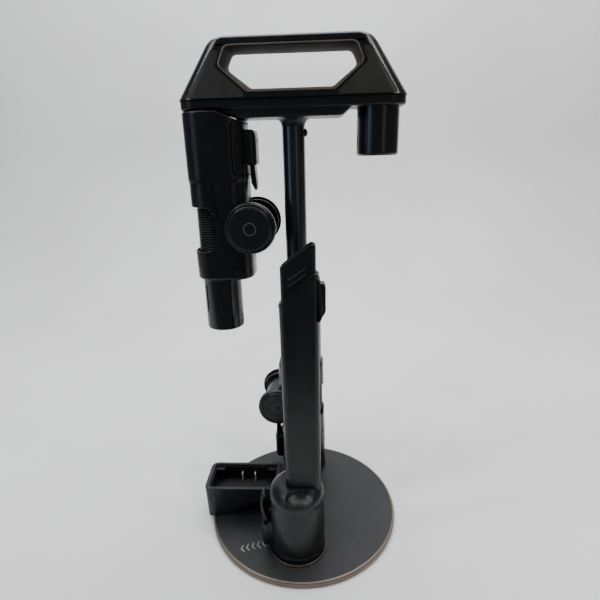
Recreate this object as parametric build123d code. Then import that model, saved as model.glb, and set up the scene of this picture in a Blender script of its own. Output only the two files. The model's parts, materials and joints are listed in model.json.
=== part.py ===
from build123d import *
import os

# A free-standing stand for the tools of a cordless stick cleaner.
# Millimetres. +Z is up, +X runs along the carrying head to the bare peg, +Y is the back.
# The origin is on the surface the stand rests on, on the axis of the pole.

# ---- driving dimensions -------------------------------------------------------------
# base
BASE_RADIUS = 120.0        # round base, outside the rim ring
BASE_HEIGHT = 8.0          # top of the base above the surface it stands on
RIM_WIDTH = 2.6            # bronze rim ring, radial
COVER_THICKNESS = 1.8      # moulded top cover of the base
FOOT_HEIGHT = 2.0
FOOT_RADIUS = 7.0
FOOT_CIRCLE = 98.0
FOOT_COUNT = 6
SCREW_CIRCLE = 84.0
SCREW_COUNT = 6

# pole
POLE_RADIUS = 11.5
POLE_WALL = 1.5
SPIGOT_HEIGHT = 34.0       # spigot on the base weight, inside the pole

# pegs and sockets that carry the tools
PEG_RADIUS = 21.0
PEG_LENGTH = 46.0
PEG_WALL = 2.5
SOCKET_CLEARANCE = 0.3     # radial, between a peg and a tool's socket
SEAT_GAP = 0.4             # between a seated tool and what it seats on
PEG_SPACING = 85.0         # from the pole to each head peg
FRONT_POST = (-4.0, -65.0)
REAR_POST = (4.5, 84.0)
FRONT_FLANGE_RADIUS = 33.0
REAR_FLANGE_RADIUS = 24.0
POST_RING_WIDTH = 2.0
POST_RING_HEIGHT = 2.2
SHOULDER_RELIEF = 0.5      # peg or tube is thinner this close to the shoulder it stands on
SHOULDER_STEP = 0.8        # and inside it

# carrying head
HEAD_HALF_LENGTH = 112.0   # at the flange
HEAD_DEPTH = 52.0
HEAD_BOTTOM = 498.0
FLANGE_HEIGHT = 9.0        # band between the underside and the flange line
HEAD_HEIGHT = 64.0         # underside to the top of the grip bar
GRIP_HALF_LENGTH = 77.0
GRIP_DEPTH = 36.0
HEAD_WALL = 3.0
HEAD_CORNER = 18.0
GRIP_CORNER = 12.0
BELLY_DEPTH = 8.0          # thicker middle of the head, below its underside
BELLY_HALF_LENGTH = 48.0
BELLY_WIDTH = 44.0
BELLY_REACH = 10.0         # how far the belly's slanted end runs out along the head
GRIP_END_CORNER = 9.0      # at each end of the grip, seen from the front
NECK_DROP = 8.0            # flared neck below the belly
OPENING_TOP_HALF = 62.0    # hexagonal hand opening, outside of its trim
OPENING_MID_HALF = 69.5
OPENING_LOW_HALF = 42.0
OPENING_TOP = 56.3         # heights above the underside of the head
OPENING_MID = 38.3
OPENING_LOW = 14.5
TRIM_WALL = 2.4
PANEL_THICKNESS = 1.2

# jointed hose tool: measured from the open end of its socket, along the tube
CASING_BACK = 25.2         # tube axis to the outer wall on the hose side
CASING_FRONT = 37.5        # tube axis to the outer wall on the hinge side
CASING_DEPTH = 56.0
CASING_CORNER = 20.0
CASING_WALL = 2.5
CASING_SLOPE_START = 8.0   # the casing's top steps down under the belly from here
CASING_SLOPE_RUN = 25.0    # over this length
CASING_SLOPE_GAP = 0.8     # between that slope and the belly of the head
SOCKET_DEPTH = 50.0
SLEEVE_WALL = 2.0
HINGE_OFFSET = 40.0        # tube axis to hinge axis
PARTING = 113.0            # socket end to the parting line, where the hinge is
PARTING_GAP = 0.4
WINDOW_TOP = 92.0          # hose window, from the socket end
WINDOW_LOW = 138.0
WINDOW_EDGE = 3.0          # how far the window reaches past the tube axis
WINDOW_CORNER = 13.0
LOWER_END = 169.5
TUBE_RADIUS = 21.0
TUBE_WALL = 2.0
TUBE_END = 229.5
TUBE_PLUG = 12.0           # tube held inside the lower casing
HOSE_RADIUS = 21.8
HOSE_WALL = 2.5
CHEEK_RADIUS = 24.0
CHEEK_THICKNESS = 8.0
HINGE_PIN_RADIUS = 4.0
PIN_CLEARANCE = 0.05
BEZEL_RADIUS = 26.4
BEZEL_WALL = 3.0
BEZEL_HEIGHT = 7.5
BUTTON_CLEARANCE = 0.3
BUTTON_PROUD = 1.6
BUTTON_TRAVEL = 3.0
BACK_CAP_HEIGHT = 5.0
RUN_GAP = 0.4              # between pieces that turn past each other

# release latch, on each socket
LATCH_WIDTH = 30.0
LATCH_PROUD = 10.0         # block, beyond the wall it sits on
LATCH_WALL = 2.0
FINGER_WIDTH = 17.0
FINGER_THICKNESS = 4.5
LEVER_CLEARANCE = 1.4      # free space in front of the lever, inside the block
LEVER_LIFT = 1.6           # free space behind the lever, for its spring
HOOK_LOW = 8.5             # hook at the lever's top, above its axle
HOOK_HIGH = 13.5
HOOK_SWING = 2.4           # room above and below the hook, for it to rock
TRUNNION_RADIUS = 1.6
TOOL_LATCH_TOP = 17.5
TOOL_BLOCK_LENGTH = 34.0
TOOL_FINGER_LENGTH = 26.0
CREVICE_LATCH_TOP = 9.0
CREVICE_BLOCK_LENGTH = 27.0
CREVICE_FINGER_LENGTH = 38.0

# crevice tool
COLLAR_RADIUS = 32.0
COLLAR_HEIGHT = 88.0
COLLAR_SHOULDER = 15.0
COLLAR_SOCKET_DEPTH = 50.0
BLADE_OFFSET = 8.4         # blade centre from the socket axis
BLADE_WIDTH = 40.0
BLADE_THICKNESS = 20.0
BLADE_CORNER = 7.0
BLADE_ROOT = 24.0          # blade length held inside the collar
BLADE_LOW_TIP = 305.0      # slanted end: low side and high side, above the socket end
BLADE_HIGH_TIP = 337.0
SLIDE_CLEARANCE = 0.4
BLADE_WALL = 2.0
EXTENSION_WALL = 1.8
EXTENSION_START = 122.0
EXTENSION_LOW_TIP = 341.5
EXTENSION_HIGH_TIP = 365.0
SHOE_PROUD = 3.4           # guide on the blade's side that holds the release button
SHOE_START = 284.0
SHOE_LENGTH = 50.0
SHOE_WIDTH = 17.0
RELEASE_PROUD = 3.4
RELEASE_LENGTH = 34.0
RELEASE_WIDTH = 12.0
RELEASE_TRAVEL = 2.0

# battery charging dock
DOCK_LEFT = -125.0
DOCK_RIGHT = -30.0
DOCK_FRONT = -30.0
DOCK_BACK = 22.0
DOCK_TOP = 55.0            # above the surface the stand is on
DOCK_WALL = 4.6
DOCK_FLOOR = 33.0
DOCK_CORNER = 10.0
DOCK_UNDERCUT = 36.0       # how far the front wall leans in at its right-hand end
TRAY_THICKNESS = 1.4
CONTACT_SPACING = 17.5
CONTACT_X = -83.0
CONTACT_SIZE = (1.0, 6.0, 12.0)
INLET_RADIUS = 5.5
INLET_BORE = 2.8
INLET_DEPTH = 10.0
INLET_X = -98.0
INLET_Z = 20.0

# small button near the top of the pole
SNAP_RADIUS = 3.0
SNAP_PROUD = 3.0
SNAP_DROP = 14.0           # below the underside of the belly
SNAP_TRAVEL = 2.5

# ---- derived sizes ------------------------------------------------------------------
PEG_STEM = PEG_RADIUS - SHOULDER_STEP
PEG_FLANGE = PEG_RADIUS + 1.2
TUBE_STEM = TUBE_RADIUS - SHOULDER_STEP
TUBE_FLANGE = TUBE_RADIUS + 2.0
POLE_TOP = HEAD_BOTTOM + OPENING_LOW - TRIM_WALL - 1.0
HEAD_FLANGE = HEAD_BOTTOM + FLANGE_HEIGHT
HEAD_TOP = HEAD_BOTTOM + HEAD_HEIGHT
BELLY_BOTTOM = HEAD_BOTTOM - BELLY_DEPTH
SOCKET_RADIUS = PEG_RADIUS + SOCKET_CLEARANCE
SEAT_HEIGHT = BASE_HEIGHT + POST_RING_HEIGHT + SEAT_GAP
CASING_LENGTH = CASING_BACK + CASING_FRONT
CASING_CENTRE = (CASING_FRONT - CASING_BACK) / 2
CHEEK_FACE = CASING_DEPTH / 2 + RUN_GAP
BUTTON_RADIUS = BEZEL_RADIUS - BEZEL_WALL - BUTTON_CLEARANCE
WEIGHT_RADIUS = BASE_RADIUS - RIM_WIDTH - 5.0
WEIGHT_TOP = BASE_HEIGHT - COVER_THICKNESS

parts = {}


# ---- small helpers ------------------------------------------------------------------
def block(x0, x1, y0, y1, z0, z1):
    """A box between two corners."""
    middle = Pos((x0 + x1) / 2, (y0 + y1) / 2, (z0 + z1) / 2)
    return middle * Box(x1 - x0, y1 - y0, z1 - z0)


def upright(radius, z0, z1, at=(0, 0)):
    """A cylinder along Z."""
    return Pos(at[0], at[1], (z0 + z1) / 2) * Cylinder(radius, z1 - z0)


def crosswise(radius, y0, y1, at=(0, 0)):
    """A cylinder along Y; at is its x and z."""
    return Pos(at[0], (y0 + y1) / 2, at[1]) * Rot(90, 0, 0) * Cylinder(radius, y1 - y0)


def ring(outer, inner, z0, z1, at=(0, 0)):
    return upright(outer, z0, z1, at) - upright(inner, z0 - 1, z1 + 1, at)


def prism(length, depth, corner, z0, z1, at=(0, 0)):
    """An upright prism on a rectangle with rounded corners."""
    outline = RectangleRounded(length, depth, corner)
    return Pos(at[0], at[1], z0) * extrude(outline, amount=z1 - z0)


def turned(points):
    """A solid turned about Z from (radius, height) points."""
    return revolve(Plane.XZ * Polygon(*points, align=None), Axis.Z)


def front_plate(points, y0, y1):
    """A plate with its outline in the XZ plane, from y0 to y1."""
    outline = Plane((0, y1, 0), x_dir=(1, 0, 0), z_dir=(0, -1, 0)) * Polygon(*points, align=None)
    return extrude(outline, amount=y1 - y0, dir=(0, -1, 0))


# ---- base ---------------------------------------------------------------------------
def make_base():
    weight = upright(WEIGHT_RADIUS, FOOT_HEIGHT, WEIGHT_TOP)
    weight += upright(POLE_RADIUS - POLE_WALL - 0.1, WEIGHT_TOP, WEIGHT_TOP + SPIGOT_HEIGHT)
    cover = upright(BASE_RADIUS - RIM_WIDTH, 1.0, BASE_HEIGHT)
    cover -= upright(WEIGHT_RADIUS + 0.2, 0, WEIGHT_TOP)
    cover -= upright(POLE_RADIUS + 0.2, 0, BASE_HEIGHT + 1)
    rim = turned([
        (BASE_RADIUS - RIM_WIDTH, 1.0),
        (BASE_RADIUS - 0.8, 1.0),
        (BASE_RADIUS, 1.8),
        (BASE_RADIUS, BASE_HEIGHT - 1.2),
        (BASE_RADIUS - 0.5, BASE_HEIGHT - 0.4),
        (BASE_RADIUS - 1.3, BASE_HEIGHT),
        (BASE_RADIUS - RIM_WIDTH, BASE_HEIGHT),
    ])
    feet = [upright(FOOT_RADIUS, 0, FOOT_HEIGHT, at)
            for at in [(0, 0)] + around(FOOT_CIRCLE, FOOT_COUNT, 0)]
    head_height = 1.2
    screws = []
    for at in around(SCREW_CIRCLE, SCREW_COUNT, 180 / SCREW_COUNT):
        weight -= upright(2.0, 0, WEIGHT_TOP + 1, at)
        weight -= upright(4.0, 0, FOOT_HEIGHT + head_height, at)
        screw = upright(3.8, FOOT_HEIGHT, FOOT_HEIGHT + head_height, at)
        screws.append(screw + upright(1.8, FOOT_HEIGHT, WEIGHT_TOP, at))
    parts["base_weight"] = weight
    parts["base_cover"] = cover
    parts["rim_ring"] = rim
    parts["foot_pads"] = Compound(children=feet)
    parts["base_screws"] = Compound(children=screws)


def around(radius, count, start):
    """Evenly spaced points on a circle about the pole."""
    spots = PolarLocations(radius, count, start_angle=start).locations
    return [(spot.position.X, spot.position.Y) for spot in spots]


def make_posts():
    rings = []
    for name, at, flange in (("front_post", FRONT_POST, FRONT_FLANGE_RADIUS),
                             ("rear_post", REAR_POST, REAR_FLANGE_RADIUS)):
        top = BASE_HEIGHT + POST_RING_HEIGHT + PEG_LENGTH
        post = upright(flange, BASE_HEIGHT, BASE_HEIGHT + POST_RING_HEIGHT, at)
        post += upright(PEG_RADIUS, BASE_HEIGHT, top - 2, at)
        post += Pos(at[0], at[1], top - 1) * Cone(PEG_RADIUS, PEG_RADIUS - 2, 2)
        post -= upright(PEG_RADIUS - PEG_WALL, BASE_HEIGHT - 1, top - PEG_WALL, at)
        parts[name] = post
        rings.append(ring(flange + POST_RING_WIDTH, flange, BASE_HEIGHT,
                          BASE_HEIGHT + POST_RING_HEIGHT, at))
    parts["post_rings"] = Compound(children=rings)


def make_pole():
    hole_height = BELLY_BOTTOM - SNAP_DROP
    pole = ring(POLE_RADIUS, POLE_RADIUS - POLE_WALL, WEIGHT_TOP, POLE_TOP)
    side_hole = Pos(POLE_RADIUS, 0, hole_height) * Rot(0, 90, 0)
    pole -= side_hole * Cylinder(SNAP_RADIUS + 0.15, 3 * POLE_WALL)
    parts["pole"] = pole

    inner = POLE_RADIUS - POLE_WALL
    stem = Pos(0, 0, hole_height) * Rot(0, 90, 0)
    reach = POLE_RADIUS + SNAP_PROUD
    button = stem * Pos(0, 0, reach - 4) * Cylinder(SNAP_RADIUS, 8)
    button += stem * Pos(0, 0, reach - 7.5) * Cylinder(SNAP_RADIUS + 1, 1)
    parts["snap_button"] = button
    leaf_end = reach - 8
    leaf = stem * Pos(0, 0, (leaf_end - inner + 0.2) / 2)
    parts["snap_spring"] = leaf * Cylinder(2.2, leaf_end + inner - 0.2)


# ---- carrying head ------------------------------------------------------------------
def head_loft(inset):
    """The tapering upper head, drawn in by inset all round."""
    low = Pos(0, 0, HEAD_FLANGE) * RectangleRounded(
        2 * (HEAD_HALF_LENGTH - inset), HEAD_DEPTH - 2 * inset, HEAD_CORNER - inset)
    high = Pos(0, 0, HEAD_TOP - inset) * RectangleRounded(
        2 * (GRIP_HALF_LENGTH - inset), GRIP_DEPTH - 2 * inset, GRIP_CORNER - inset)
    ends = front_plate([
        (-HEAD_HALF_LENGTH, HEAD_FLANGE), (HEAD_HALF_LENGTH, HEAD_FLANGE),
    ] + grip_end(1, inset) + grip_end(-1, inset)[::-1], -HEAD_DEPTH, HEAD_DEPTH)
    return loft([low, high], ruled=True) & ends


def grip_end(side, inset):
    """The rounded end of the grip bar, seen from the front; side is -1 or 1."""
    top = HEAD_TOP - inset
    slope = (HEAD_HALF_LENGTH - GRIP_HALF_LENGTH) / (HEAD_TOP - HEAD_FLANGE)
    corner = max(GRIP_END_CORNER - inset, 1.0)
    start = Vector(GRIP_HALF_LENGTH - inset + corner * slope, top - corner)
    tip = Vector(GRIP_HALF_LENGTH - inset, top)
    end = Vector(GRIP_HALF_LENGTH - inset - corner, top)
    steps = 6
    curve = []
    for k in range(steps + 1):
        t = k / steps
        point = start * (1 - t) ** 2 + tip * (2 * t * (1 - t)) + end * t * t
        curve.append((side * point.X, point.Y))
    return curve


def opening_points(inset):
    """The hexagon of the hand opening, inset from the outside of its trim."""
    slant = inset * 0.8
    return [
        (-OPENING_TOP_HALF + slant, HEAD_BOTTOM + OPENING_TOP - inset),
        (-OPENING_MID_HALF + inset, HEAD_BOTTOM + OPENING_MID),
        (-OPENING_LOW_HALF + slant / 2, HEAD_BOTTOM + OPENING_LOW + inset),
        (OPENING_LOW_HALF - slant / 2, HEAD_BOTTOM + OPENING_LOW + inset),
        (OPENING_MID_HALF - inset, HEAD_BOTTOM + OPENING_MID),
        (OPENING_TOP_HALF - slant, HEAD_BOTTOM + OPENING_TOP - inset),
    ]


def panel_points(side):
    """A matte side panel beside the hand opening; side is -1 or 1."""
    low = HEAD_FLANGE + 0.6
    high = HEAD_BOTTOM + OPENING_TOP - 4.5
    points = [
        (OPENING_LOW_HALF + 4.0, low),
        (HEAD_HALF_LENGTH - 11.0, low),
        (GRIP_HALF_LENGTH - 3.0, high),
        (OPENING_TOP_HALF + 5.0, high),
        (OPENING_MID_HALF + 2.5, HEAD_BOTTOM + OPENING_MID),
        (OPENING_LOW_HALF + 3.0, HEAD_BOTTOM + OPENING_LOW),
    ]
    return [(side * x, z) for x, z in points]


def belly_slope():
    """The belly's end over a seated tool, from the tool's axis: an S-curve to full depth."""
    steps = 8
    shares = [k / steps for k in range(steps + 1)]
    return [(CASING_SLOPE_START + CASING_SLOPE_RUN * t, -BELLY_DEPTH * t * t * (3 - 2 * t))
            for t in shares]


def make_head():
    depth = HEAD_DEPTH
    outer = head_loft(0)
    shell = outer - head_loft(HEAD_WALL)
    shell -= block(-HEAD_HALF_LENGTH, HEAD_HALF_LENGTH, -depth, depth,
                   HEAD_FLANGE - 1, HEAD_FLANGE)
    passage = front_plate(opening_points(0), -depth, depth)
    shell -= passage
    skin = outer - head_loft(PANEL_THICKNESS)
    for name, side in (("side_panel_left", -1), ("side_panel_right", 1)):
        panel = skin & front_plate(panel_points(side), -depth, depth)
        shell -= panel
        parts[name] = panel
    parts["head_shell"] = shell

    trim = passage & outer
    parts["handle_trim"] = trim - front_plate(opening_points(TRIM_WALL), -depth, depth)

    frame = prism(2 * HEAD_HALF_LENGTH - 3, depth - 3, HEAD_CORNER - 1.5,
                  HEAD_BOTTOM, HEAD_FLANGE)
    frame -= frame_hollow(0)
    left_end = [(-PEG_SPACING + x, HEAD_BOTTOM + z) for x, z in belly_slope()]
    right_end = [(BELLY_HALF_LENGTH, BELLY_BOTTOM),
                 (BELLY_HALF_LENGTH + BELLY_REACH, HEAD_BOTTOM)]
    frame += front_plate(left_end + right_end, -BELLY_WIDTH / 2, BELLY_WIDTH / 2)
    neck_low = POLE_RADIUS + 0.7
    frame += turned([
        (0, BELLY_BOTTOM - NECK_DROP), (neck_low, BELLY_BOTTOM - NECK_DROP),
        (neck_low + 0.6, BELLY_BOTTOM - NECK_DROP + 4.2),
        (neck_low + 2.6, BELLY_BOTTOM - 1.6), (neck_low + 5.5, BELLY_BOTTOM),
        (neck_low + 5.5, POLE_TOP - 4), (0, POLE_TOP - 4),
    ])
    frame -= upright(POLE_RADIUS + 0.1, BELLY_BOTTOM - NECK_DROP - 1, POLE_TOP + 1)
    screws = []
    for side in (-1, 1):
        at = (side * PEG_SPACING, 0)
        frame -= upright(PEG_RADIUS + RUN_GAP, BELLY_BOTTOM - 1, HEAD_BOTTOM, at)
        frame -= upright(PEG_STEM, HEAD_BOTTOM - 1, HEAD_BOTTOM + HEAD_WALL + 1, at)
        parts["peg_left" if side < 0 else "peg_right"] = make_peg(at)
    for x in (-38, -24, 24, 38):
        at = (x, 0)
        frame -= upright(1.6, BELLY_BOTTOM - 1, HEAD_BOTTOM + HEAD_WALL + 1, at)
        frame -= upright(3.4, BELLY_BOTTOM - 1, BELLY_BOTTOM + 3, at)
        screws.append(upright(3.2, BELLY_BOTTOM + 1, BELLY_BOTTOM + 3, at)
                      + upright(1.5, BELLY_BOTTOM + 1, HEAD_BOTTOM + HEAD_WALL, at))
    parts["head_frame"] = frame
    parts["head_screws"] = Compound(children=screws)


def frame_hollow(inset):
    """The hollow of the head's lower frame, above its floor."""
    inset += 1.5 + HEAD_WALL
    return prism(2 * (HEAD_HALF_LENGTH - inset), HEAD_DEPTH - 2 * inset, HEAD_CORNER - inset,
                 HEAD_BOTTOM + HEAD_WALL, HEAD_FLANGE + 1)


def make_peg(at):
    """A hollow peg that hangs from the head, with a slot for a latch."""
    low = HEAD_BOTTOM - PEG_LENGTH
    flange = HEAD_BOTTOM + HEAD_WALL
    peg = upright(PEG_RADIUS, low + 1.5, HEAD_BOTTOM - SHOULDER_RELIEF, at)
    peg += upright(PEG_STEM, low + 1.5, flange, at)
    peg += Pos(at[0], at[1], low + 0.75) * Cone(PEG_RADIUS - 1.5, PEG_RADIUS, 1.5)
    peg += upright(PEG_FLANGE, flange, flange + 2, at) & frame_hollow(0.2)
    peg -= upright(PEG_RADIUS - PEG_WALL, low + PEG_WALL, flange + 3, at)
    side = -1 if at[0] > 0 else 1
    slot_x = at[0] + side * PEG_RADIUS
    peg -= block(slot_x - 4, slot_x + 4, -5, 5, HEAD_BOTTOM - 37, HEAD_BOTTOM - 26.6)
    return peg


# ---- release latch ------------------------------------------------------------------
def make_latch(prefix, wall, top, block_length, finger_length, body, place):
    """A latch on a wall at x = wall, from z = -top downwards.

    The block is fixed on the wall. The lever turns on two stub axles inside it: its
    finger hangs below, and its hook reaches in through the wall above the axles.
    """
    low = -top - block_length
    outside = wall + LATCH_PROUD
    half = LATCH_WIDTH / 2
    housing = block(wall - 11, outside, -half, half, low, -top)
    bevel = front_plate([
        (outside - 4, -top + 1), (outside + 1, -top + 1), (outside + 1, -top - 9),
    ], -LATCH_WIDTH, LATCH_WIDTH)
    housing -= bevel
    housing -= body
    axle_x = outside - LATCH_WALL - LEVER_CLEARANCE - FINGER_THICKNESS / 2
    axle_z = low + 9.0
    hollow_half = FINGER_WIDTH / 2 + RUN_GAP
    lever_inner = axle_x - FINGER_THICKNESS / 2
    lever_outer = axle_x + FINGER_THICKNESS / 2
    housing -= block(lever_inner - LEVER_LIFT, lever_outer + LEVER_CLEARANCE,
                     -hollow_half, hollow_half, low - 1, axle_z + 17)
    housing -= block(wall - 12, lever_inner, -3.6, 3.6,
                     axle_z + HOOK_LOW - HOOK_SWING, axle_z + HOOK_HIGH + HOOK_SWING)
    for side in (-1, 1):
        housing -= crosswise(TRUNNION_RADIUS + PIN_CLEARANCE,
                             min(0, side * (hollow_half + 2.4)),
                             max(0, side * (hollow_half + 2.4)), (axle_x, axle_z))

    finger_low = low - finger_length
    lever = front_plate([
        (lever_inner, axle_z + 14), (lever_outer, axle_z + 14), (lever_outer, low - 4),
        (lever_outer + 1.6, finger_low + 6), (lever_outer - 1.2, finger_low),
        (lever_outer - 3.2, finger_low + 1.5), (lever_inner, low - finger_length * 0.45),
    ], -FINGER_WIDTH / 2, FINGER_WIDTH / 2)
    lever += crosswise(TRUNNION_RADIUS, -hollow_half - 2, hollow_half + 2,
                       (axle_x, axle_z))
    lever += block(SOCKET_RADIUS + 0.6, lever_inner + 1, -3, 3,
                   axle_z + HOOK_LOW, axle_z + HOOK_HIGH)

    spring = block(lever_inner - LEVER_LIFT, lever_inner, -2.5, 2.5,
                   axle_z + 1.0, axle_z + 5.0)
    parts[prefix + "_latch_block"] = place * housing
    parts[prefix + "_latch_lever"] = place * lever
    parts[prefix + "_latch_spring"] = place * spring


# ---- jointed hose tool --------------------------------------------------------------
def window_cut(low, high, reach):
    """What the hose window takes off a casing, between two heights."""
    x0 = -CASING_BACK - 5
    x1 = WINDOW_EDGE
    centre = ((x0 - 30 + x1) / 2, (low + high) / 2)
    outline = RectangleRounded(x1 - x0 + 30, high - low, WINDOW_CORNER)
    plane = Plane((centre[0], reach, centre[1]), x_dir=(1, 0, 0), z_dir=(0, -1, 0))
    return extrude(plane * outline, amount=2 * reach, dir=(0, -1, 0))


def casing_outline(inset, z0, z1):
    return prism(CASING_LENGTH - 2 * inset, CASING_DEPTH - 2 * inset,
                 CASING_CORNER - inset, z0, z1, (CASING_CENTRE, 0))


def latch_slot(wall, top, block_length):
    """The slot in a wall and a sleeve that a latch's hook passes through."""
    axle_z = -top - block_length + 9.0
    return block(SOCKET_RADIUS - 2, wall + 1, -3.6, 3.6,
                 axle_z + HOOK_LOW - HOOK_SWING, axle_z + HOOK_HIGH + HOOK_SWING)


def make_hose_tool(prefix, place):
    """A tool that folds on a side hinge, with its hose showing on the other side."""
    reach = CASING_DEPTH
    inside = CASING_DEPTH / 2 - CHEEK_THICKNESS
    hinge = (HINGE_OFFSET, -PARTING)
    window = window_cut(-WINDOW_LOW, -WINDOW_TOP, reach)
    hose_room = max(HOSE_RADIUS, TUBE_FLANGE) + RUN_GAP

    # upper casing, with a cheek each side of the hinge
    upper = casing_outline(0, -PARTING + PARTING_GAP / 2, 0)
    upper -= casing_outline(CASING_WALL, -PARTING, -CASING_WALL)
    upper -= upright(SOCKET_RADIUS + SLEEVE_WALL, -SOCKET_DEPTH, 1)
    upper -= window
    upper -= upright(hose_room, -PARTING, -SOCKET_DEPTH)
    upper -= crosswise(CHEEK_RADIUS + RUN_GAP, -inside, inside, hinge)
    for side in (-1, 1):
        cheek_y = sorted((side * (inside + RUN_GAP / 2), side * CHEEK_FACE))
        upper += crosswise(CHEEK_RADIUS, cheek_y[0], cheek_y[1], hinge)
    upper -= crosswise(HINGE_PIN_RADIUS, -CASING_DEPTH, CASING_DEPTH, hinge)
    slope = [(x, z + SEAT_GAP - CASING_SLOPE_GAP) for x, z in belly_slope()]
    slope_end = (slope[-1][0] + 20, slope[-1][1])
    over_slope = front_plate(slope + [slope_end, (slope_end[0], 1), (CASING_SLOPE_START, 1)],
                             -reach, reach)
    upper -= over_slope
    slot = latch_slot(CASING_FRONT, TOOL_LATCH_TOP, TOOL_BLOCK_LENGTH)
    upper -= slot

    # sleeve that fits over a peg
    sleeve = upright(SOCKET_RADIUS + SLEEVE_WALL, -SOCKET_DEPTH, 0)
    sleeve -= upright(SOCKET_RADIUS, -SOCKET_DEPTH - 1, 1)
    sleeve -= slot
    sleeve -= over_slope

    # lower casing, with the knuckle between the cheeks
    lower = casing_outline(0, -LOWER_END, -PARTING - PARTING_GAP / 2)
    lower -= casing_outline(CASING_WALL, -LOWER_END + 3, -PARTING)
    lower -= window
    lower -= upright(hose_room, -LOWER_END + 3, -PARTING)
    for side in (-1, 1):
        cheek_y = sorted((side * (inside - RUN_GAP / 2), side * CASING_DEPTH))
        lower -= crosswise(CHEEK_RADIUS + RUN_GAP, cheek_y[0], cheek_y[1], hinge)
    knuckle = crosswise(CHEEK_RADIUS - RUN_GAP, -inside + RUN_GAP / 2, inside - RUN_GAP / 2, hinge)
    knuckle -= block(-CASING_BACK, HOSE_RADIUS + 1, -reach, reach, -LOWER_END, 0)
    lower += knuckle
    lower -= crosswise(HINGE_PIN_RADIUS + PIN_CLEARANCE, -reach, reach, hinge)
    lower -= upright(TUBE_STEM, -LOWER_END - 1, -LOWER_END + 4)

    # male tube, with a retaining slot down one side
    tube = upright(TUBE_RADIUS, -TUBE_END + 1.5, -LOWER_END - SHOULDER_RELIEF)
    tube += upright(TUBE_STEM, -TUBE_END + 1.5, -LOWER_END + TUBE_PLUG)
    tube += Pos(0, 0, -TUBE_END + 0.75) * Cone(TUBE_RADIUS - 1, TUBE_RADIUS, 1.5)
    tube += upright(TUBE_FLANGE, -LOWER_END + 3, -LOWER_END + 5)
    tube -= upright(TUBE_RADIUS - TUBE_WALL, -TUBE_END - 1, -LOWER_END + TUBE_PLUG + 1)
    slot_angle = Rot(0, 0, -55)
    tube -= slot_angle * block(TUBE_RADIUS - 1, TUBE_RADIUS + 1, -3, 3,
                               -TUBE_END + 14, -LOWER_END - 4)

    hose = ring(HOSE_RADIUS, HOSE_RADIUS - HOSE_WALL,
                -LOWER_END + TUBE_PLUG, -SOCKET_DEPTH)
    pin = crosswise(HINGE_PIN_RADIUS, -CHEEK_FACE, CHEEK_FACE, hinge)

    # the round push button, its bezel and spring, and the cap at the back
    front = Pos(HINGE_OFFSET, -CHEEK_FACE, -PARTING) * Rot(90, 0, 0)
    bezel_inner = BEZEL_RADIUS - BEZEL_WALL
    bezel = front * turned([
        (bezel_inner, 0), (BEZEL_RADIUS, 0), (BEZEL_RADIUS, BEZEL_HEIGHT - 2.5),
        (BEZEL_RADIUS - 0.8, BEZEL_HEIGHT - 0.8), (BEZEL_RADIUS - 2, BEZEL_HEIGHT),
        (bezel_inner, BEZEL_HEIGHT),
    ])
    button_base = BUTTON_TRAVEL + 0.9
    button_face = BEZEL_HEIGHT + BUTTON_PROUD
    spring_radius = 9.0
    button = front * turned([
        (0, button_base + 2), (spring_radius + 1, button_base + 2),
        (spring_radius + 1, button_base), (BUTTON_RADIUS, button_base),
        (BUTTON_RADIUS, button_face - 1.0), (BUTTON_RADIUS - 1.6, button_face),
        (0, button_face),
    ])
    spring = front * ring(spring_radius, spring_radius - 1.2, 0, button_base + 2)
    back = Pos(HINGE_OFFSET, CHEEK_FACE, -PARTING) * Rot(-90, 0, 0)
    cap = back * turned([
        (0, 0), (BEZEL_RADIUS, 0), (BEZEL_RADIUS, BACK_CAP_HEIGHT - 2),
        (BEZEL_RADIUS - 2, BACK_CAP_HEIGHT), (0, BACK_CAP_HEIGHT),
    ])

    pieces = {
        "upper_casing": upper, "socket_sleeve": sleeve, "lower_casing": lower,
        "male_tube": tube, "bellows_hose": hose, "hinge_pin": pin, "button_bezel": bezel,
        "push_button": button, "button_spring": spring, "back_cap": cap,
    }
    for name, solid in pieces.items():
        parts[prefix + "_" + name] = place * solid
    make_latch(prefix, CASING_FRONT, TOOL_LATCH_TOP, TOOL_BLOCK_LENGTH, TOOL_FINGER_LENGTH,
               casing_outline(0, -PARTING, 0), place)


# ---- crevice tool -------------------------------------------------------------------
def blade_prism(width, thickness, corner, z0, z1):
    return prism(width, thickness, corner, z0, z1, (BLADE_OFFSET, 0))


def slanted_above(low_tip, high_tip, half_width):
    """Everything above a slanted end; low on the left, high on the right."""
    left = BLADE_OFFSET - half_width
    right = BLADE_OFFSET + half_width
    turn = right - 0.16 * (right - left)
    return front_plate([
        (left - 9, low_tip - 9 * (high_tip - low_tip) / (turn - left)),
        (turn, high_tip), (right + 9, high_tip - 4), (right + 9, high_tip + 60),
        (left - 9, high_tip + 60),
    ], -40, 40)


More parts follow.
